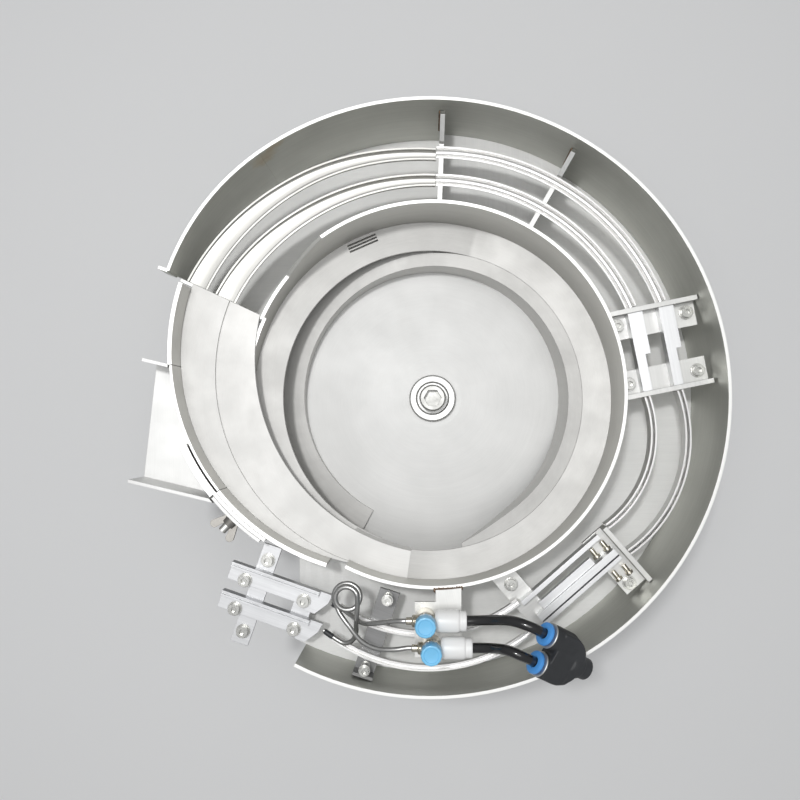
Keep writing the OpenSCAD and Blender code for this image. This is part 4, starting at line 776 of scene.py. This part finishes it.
def knob(i, name, body, node):
    """Twelve-sided adjusting knob with a dished top."""
    place = Matrix.Translation(valve_spots[i])
    z0 = KNOB_Z
    half = math.radians(180 / KNOB_SIDES)
    bm = bmesh.new()

    def ring(scale, z, flat):
        """Points round the knob, from a circle at flat 0 to the twelve sides at flat 1."""
        out = []
        for k in range(KNOB_POINTS):
            a = 2 * math.pi * k / KNOB_POINTS
            inside = math.cos(half) / math.cos((a % (2 * half)) - half)
            r = KNOB_R * scale * (1 + flat * (inside - 1))
            out.append(place @ mm(r * math.cos(a), r * math.sin(a), z))
        return out

    rings = [ring(0.55, z0, 0), ring(0.93, z0, 1), ring(0.99, z0 + 0.5, 1), ring(1.0, z0 + 4, 1),
             ring(0.985, z0 + 9.2, 1), ring(0.93, z0 + 9.9, 1), ring(0.84, z0 + 10.05, 0.6),
             ring(0.70, z0 + 9.95, 0), ring(0.66, z0 + 9.6, 0), ring(0.25, z0 + 9.5, 0)]
    add_loft(bm, rings)
    finish_piece(bm, name, body, knob_mat, 40, "blue_knob", node)


knob(0, "inner_knob_cap", "inner_knob", "inner_valve_knob")
knob(1, "outer_knob_cap", "outer_knob", "outer_valve_knob")


bm = bmesh.new()
for i in (0, 1):
    side = turned_frame(valve_spots[i] + mm(0, 0, BARREL_Z), (1, 0, 0))
    add_turned(bm, side, [
        [0, 5.4], [5.3, 5.4], [6.0, 6.0], [6.5, 7.0], [6.6, 8.2], [6.6, 18.6], [6.4, 19.4],
        [5.9, 20.0], [5.7, 20.2], [5.7, 21.2], [5.9, 21.5], [5.9, 23.4], [5.5, 24.0],
        [3.5, 24.0], [3.1, 23.4], [3.1, 21.0], [0, 21.0]], 56)
finish_piece(bm, "valve_shells", "bowl", barrel_mat, 30, "white_plastic", "valve_barrels")

bm = bmesh.new()
for i in (0, 1):
    upright = Matrix.Translation(valve_spots[i])
    base = rim + 2
    add_turned(bm, upright, [[0, base - 8], [2.4, base - 8], [2.5, base - 7.6],
                             [2.5, base - 2.05], [0, base - 2.05]], 28)
    add_turned(bm, upright, [
        [0, base + 0.02], [5.8, base + 0.02], [6, base + 0.3], [6, base + 13.2],
        [5.5, base + 13.9], [4.2, base + 14], [4.2, base + 14.6], [4.8, base + 15],
        [4.8, base + 15.8], [4.4, base + 16.05], [2.6, base + 16.1], [2.6, base + 22],
        [0, base + 22]], 44)
    flank = turned_frame(valve_spots[i] + mm(0, 0, BARREL_Z), (-1, 0, 0))
    add_turned(bm, flank, [[0, 5.2], [3.6, 5.2], [3.6, 7.6], [3.0, 8.0], [2.2, 8.2],
                           [2.2, 11.2], [1.8, 11.6], [0, 11.6]], 32)
    for k in range(3):
        add_turned(bm, flank, [[3.55, 5.6 + k * 0.7], [3.95, 5.85 + k * 0.7],
                               [3.55, 6.1 + k * 0.7]], 32)
finish_piece(bm, "valve_cores", "bowl", nickel_mat, 30, "nickel", "valve_bodies")

port_frames = [turned_frame(port_point(i, 0.0), fit_axis) for i in (0, 1)]

bm = bmesh.new()
for port in port_frames:
    add_turned(bm, port, [[7.2, 3.7], [7.5, 4.2], [7.55, 8], [7.4, 20], [5.6, 25], [0, 27]], 48)
    add_turned(bm, port, [[0, 4.4], [4.6, 4.4], [4.6, 3.7], [7.2, 3.7]], 48)
shoulder = turned_frame(fit_origin, fit_axis, fit_side)
# D outline of the body, (x, distance along the fitting): a straight edge and an arc
BODY_X, BODY_R, BODY_STEPS = 8.0, 15.4, 32
outline = [(-15.2, BODY_X)]
for k in range(BODY_STEPS + 1):
    a = math.radians(-90 + 180 * k / BODY_STEPS)
    outline.append((BODY_R * math.sin(a), 16 + BODY_R * math.cos(a)))
outline.append((15.2, BODY_X))
add_loft(bm, [[shoulder @ mm(x * s, y, BODY_X + (z - BODY_X) * s) for x, z in outline]
              for y, s in ((-6.6, 0.93), (-5.6, 0.98), (-3, 1), (3, 1), (5.6, 0.98), (6.6, 0.93))])
add_turned(bm, shoulder, [[0, 22], [7.6, 23], [8.0, 25.4], [8.0, 31.0], [6.5, 31.6],
                          [6.5, 37.6], [6.1, 38], [3.15, 38], [3.1, 27], [0, 27]], 56)
bmesh.ops.recalc_face_normals(bm, faces=bm.faces)
skin = add_object("fitting_skin", mesh_of(bm, "fitting_skin"))
remesh = skin.modifiers.new("remesh", "REMESH")
remesh.mode = "VOXEL"
remesh.voxel_size = 0.00042
smooth = skin.modifiers.new("smooth", "SMOOTH")
smooth.factor = 0.5
smooth.iterations = 5
moulded_mesh = applied(skin)
bpy.data.objects.remove(skin)
moulded_mesh.materials.clear()
moulded_mesh.materials.append(body_mat)
for face in moulded_mesh.polygons:
    face.use_smooth = True
fitting_shell = add_object("fitting_shell", moulded_mesh)
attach(fitting_shell, "bowl")
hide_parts("y_fitting")

collars = bmesh.new()
for port, side in zip(port_frames, ("inner", "outer")):
    bm = bmesh.new()
    add_turned(bm, port, [[3.1, 7.2], [3.1, 0.3], [3.5, 0], [6.0, 0], [6.6, 0.35], [6.8, 0.9],
                          [6.8, 2.0], [6.4, 2.55], [4.5, 2.6], [4.5, 7.2], [3.1, 7.2]], 56)
    finish_piece(bm, side + "_ring_skin", side + "_ring", ring_mat, 35, "blue_ring",
                 side + "_release_ring")
    add_turned(collars, port, [[4.7, 3.62], [6.6, 3.62], [7.25, 3.75], [7.5, 4.1],
                               [7.5, 4.5], [4.7, 4.6], [4.7, 3.62]], 56)
finish_piece(collars, "port_collars", "bowl", washer_mat, 35, "stainless_bright")


# ---- small screws that lie on the sorting bracket's shelf ------------------------------------

SHELF_Z = rim - 27.4
shelf_turn = math.radians(SORT_TURN)
bm = bmesh.new()
for x, y in ((108.5, -94.5), (102.0, -99.5), (122.5, -109.5), (116.0, -113.5)):
    lying = turned_frame(mm(x, y, SHELF_Z), (math.cos(shelf_turn), math.sin(shelf_turn), 0))
    add_turned(bm, lying, [[0, -3.4], [1.5, -3.4], [1.6, -3.2], [1.6, 1.6], [2.4, 1.7], [2.5, 2.0],
                           [2.5, 3.4], [2.3, 3.7], [1.2, 3.7], [1.2, 2.6], [0, 2.6]], 24)
finish_piece(bm, "shelf_screws", "bowl", nickel_mat, 30, "zinc_screw")


# ---- weld beads -----------------------------------------------------------------------------

def bead_tree():
    """Beads of slightly varied size along a path: inputs Path, Spacing, Radius, Seed and Finish."""
    tree = bpy.data.node_groups.new("weld_beads", "GeometryNodeTree")
    socket = tree.interface.new_socket
    socket("Path", in_out="INPUT", socket_type="NodeSocketGeometry")
    spacing = socket("Spacing", in_out="INPUT", socket_type="NodeSocketFloat")
    radius = socket("Radius", in_out="INPUT", socket_type="NodeSocketFloat")
    seed = socket("Seed", in_out="INPUT", socket_type="NodeSocketInt")
    finish = socket("Finish", in_out="INPUT", socket_type="NodeSocketMaterial")
    socket("Beads", in_out="OUTPUT", socket_type="NodeSocketGeometry")
    new, link = tree.nodes.new, tree.links.new
    gi, go = new("NodeGroupInput"), new("NodeGroupOutput")
    to_curve = new("GeometryNodeMeshToCurve")
    points = new("GeometryNodeCurveToPoints")
    points.mode = "LENGTH"
    ball = new("GeometryNodeMeshIcoSphere")
    ball.inputs["Subdivisions"].default_value = 2
    place = new("GeometryNodeInstanceOnPoints")
    size = new("FunctionNodeRandomValue")
    size.data_type = "FLOAT_VECTOR"
    size.inputs[0].default_value = (0.8, 0.75, 0.4)
    size.inputs[1].default_value = (1.2, 1.25, 0.7)
    real = new("GeometryNodeRealizeInstances")
    paint = new("GeometryNodeSetMaterial")
    shade = new("GeometryNodeSetShadeSmooth")
    link(gi.outputs["Path"], to_curve.inputs[0])
    link(to_curve.outputs[0], points.inputs[0])
    link(gi.outputs["Spacing"], points.inputs["Length"])
    link(gi.outputs["Radius"], ball.inputs["Radius"])
    link(points.outputs["Points"], place.inputs["Points"])
    link(ball.outputs["Mesh"], place.inputs["Instance"])
    link(points.outputs["Rotation"], place.inputs["Rotation"])
    link(gi.outputs["Seed"], size.inputs["Seed"])
    link(size.outputs[0], place.inputs["Scale"])
    link(place.outputs[0], real.inputs[0])
    link(real.outputs[0], paint.inputs["Geometry"])
    link(gi.outputs["Finish"], paint.inputs["Material"])
    link(paint.outputs[0], shade.inputs[0])
    link(shade.outputs[0], go.inputs[0])
    return tree, {"Spacing": spacing.identifier, "Radius": radius.identifier,
                  "Seed": seed.identifier, "Finish": finish.identifier}


beads, bead_inputs = bead_tree()
BEAD_SPACING = 0.9  # in bead radii
ARC_STEPS = 24


def weld(name, paths, radius_mm, seed, body="bowl"):
    """Row of weld beads along each path of points."""
    bm = bmesh.new()
    for path in paths:
        verts = [bm.verts.new(p) for p in path]
        for a, b in zip(verts, verts[1:]):
            bm.edges.new((a, b))
    path_object = add_object(name + "_path", mesh_of(bm, name + "_path"))
    mod = path_object.modifiers.new("beads", "NODES")
    mod.node_group = beads
    mod[bead_inputs["Spacing"]] = radius_mm * MM * BEAD_SPACING
    mod[bead_inputs["Radius"]] = radius_mm * MM
    mod[bead_inputs["Seed"]] = seed
    mod[bead_inputs["Finish"]] = weld_mat
    made = applied(path_object)
    bpy.data.objects.remove(path_object)
    piece = add_object(name, made)
    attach(piece, body)


def arc_path(radius, a0, a1, z):
    return [polar(radius, a0 + (a1 - a0) * k / ARC_STEPS, z) for k in range(ARC_STEPS + 1)]


weld("bracket_weld", [arc_path(117.4, -89.6, -81.6, rim + 0.2),
                      arc_path(118.9, -89.0, -82.2, rim - 0.4)], 1.5, 3)

# down the corner between each pan rib and the guard wall
RIB_SIDE = 0.62
weld("rib_welds", [[polar(r, rib + RIB_SIDE, rim - depth) for depth in (18, 50)]
                   for rib, r in ((60, 175.9), (88, 176.3))], 0.65, 5)
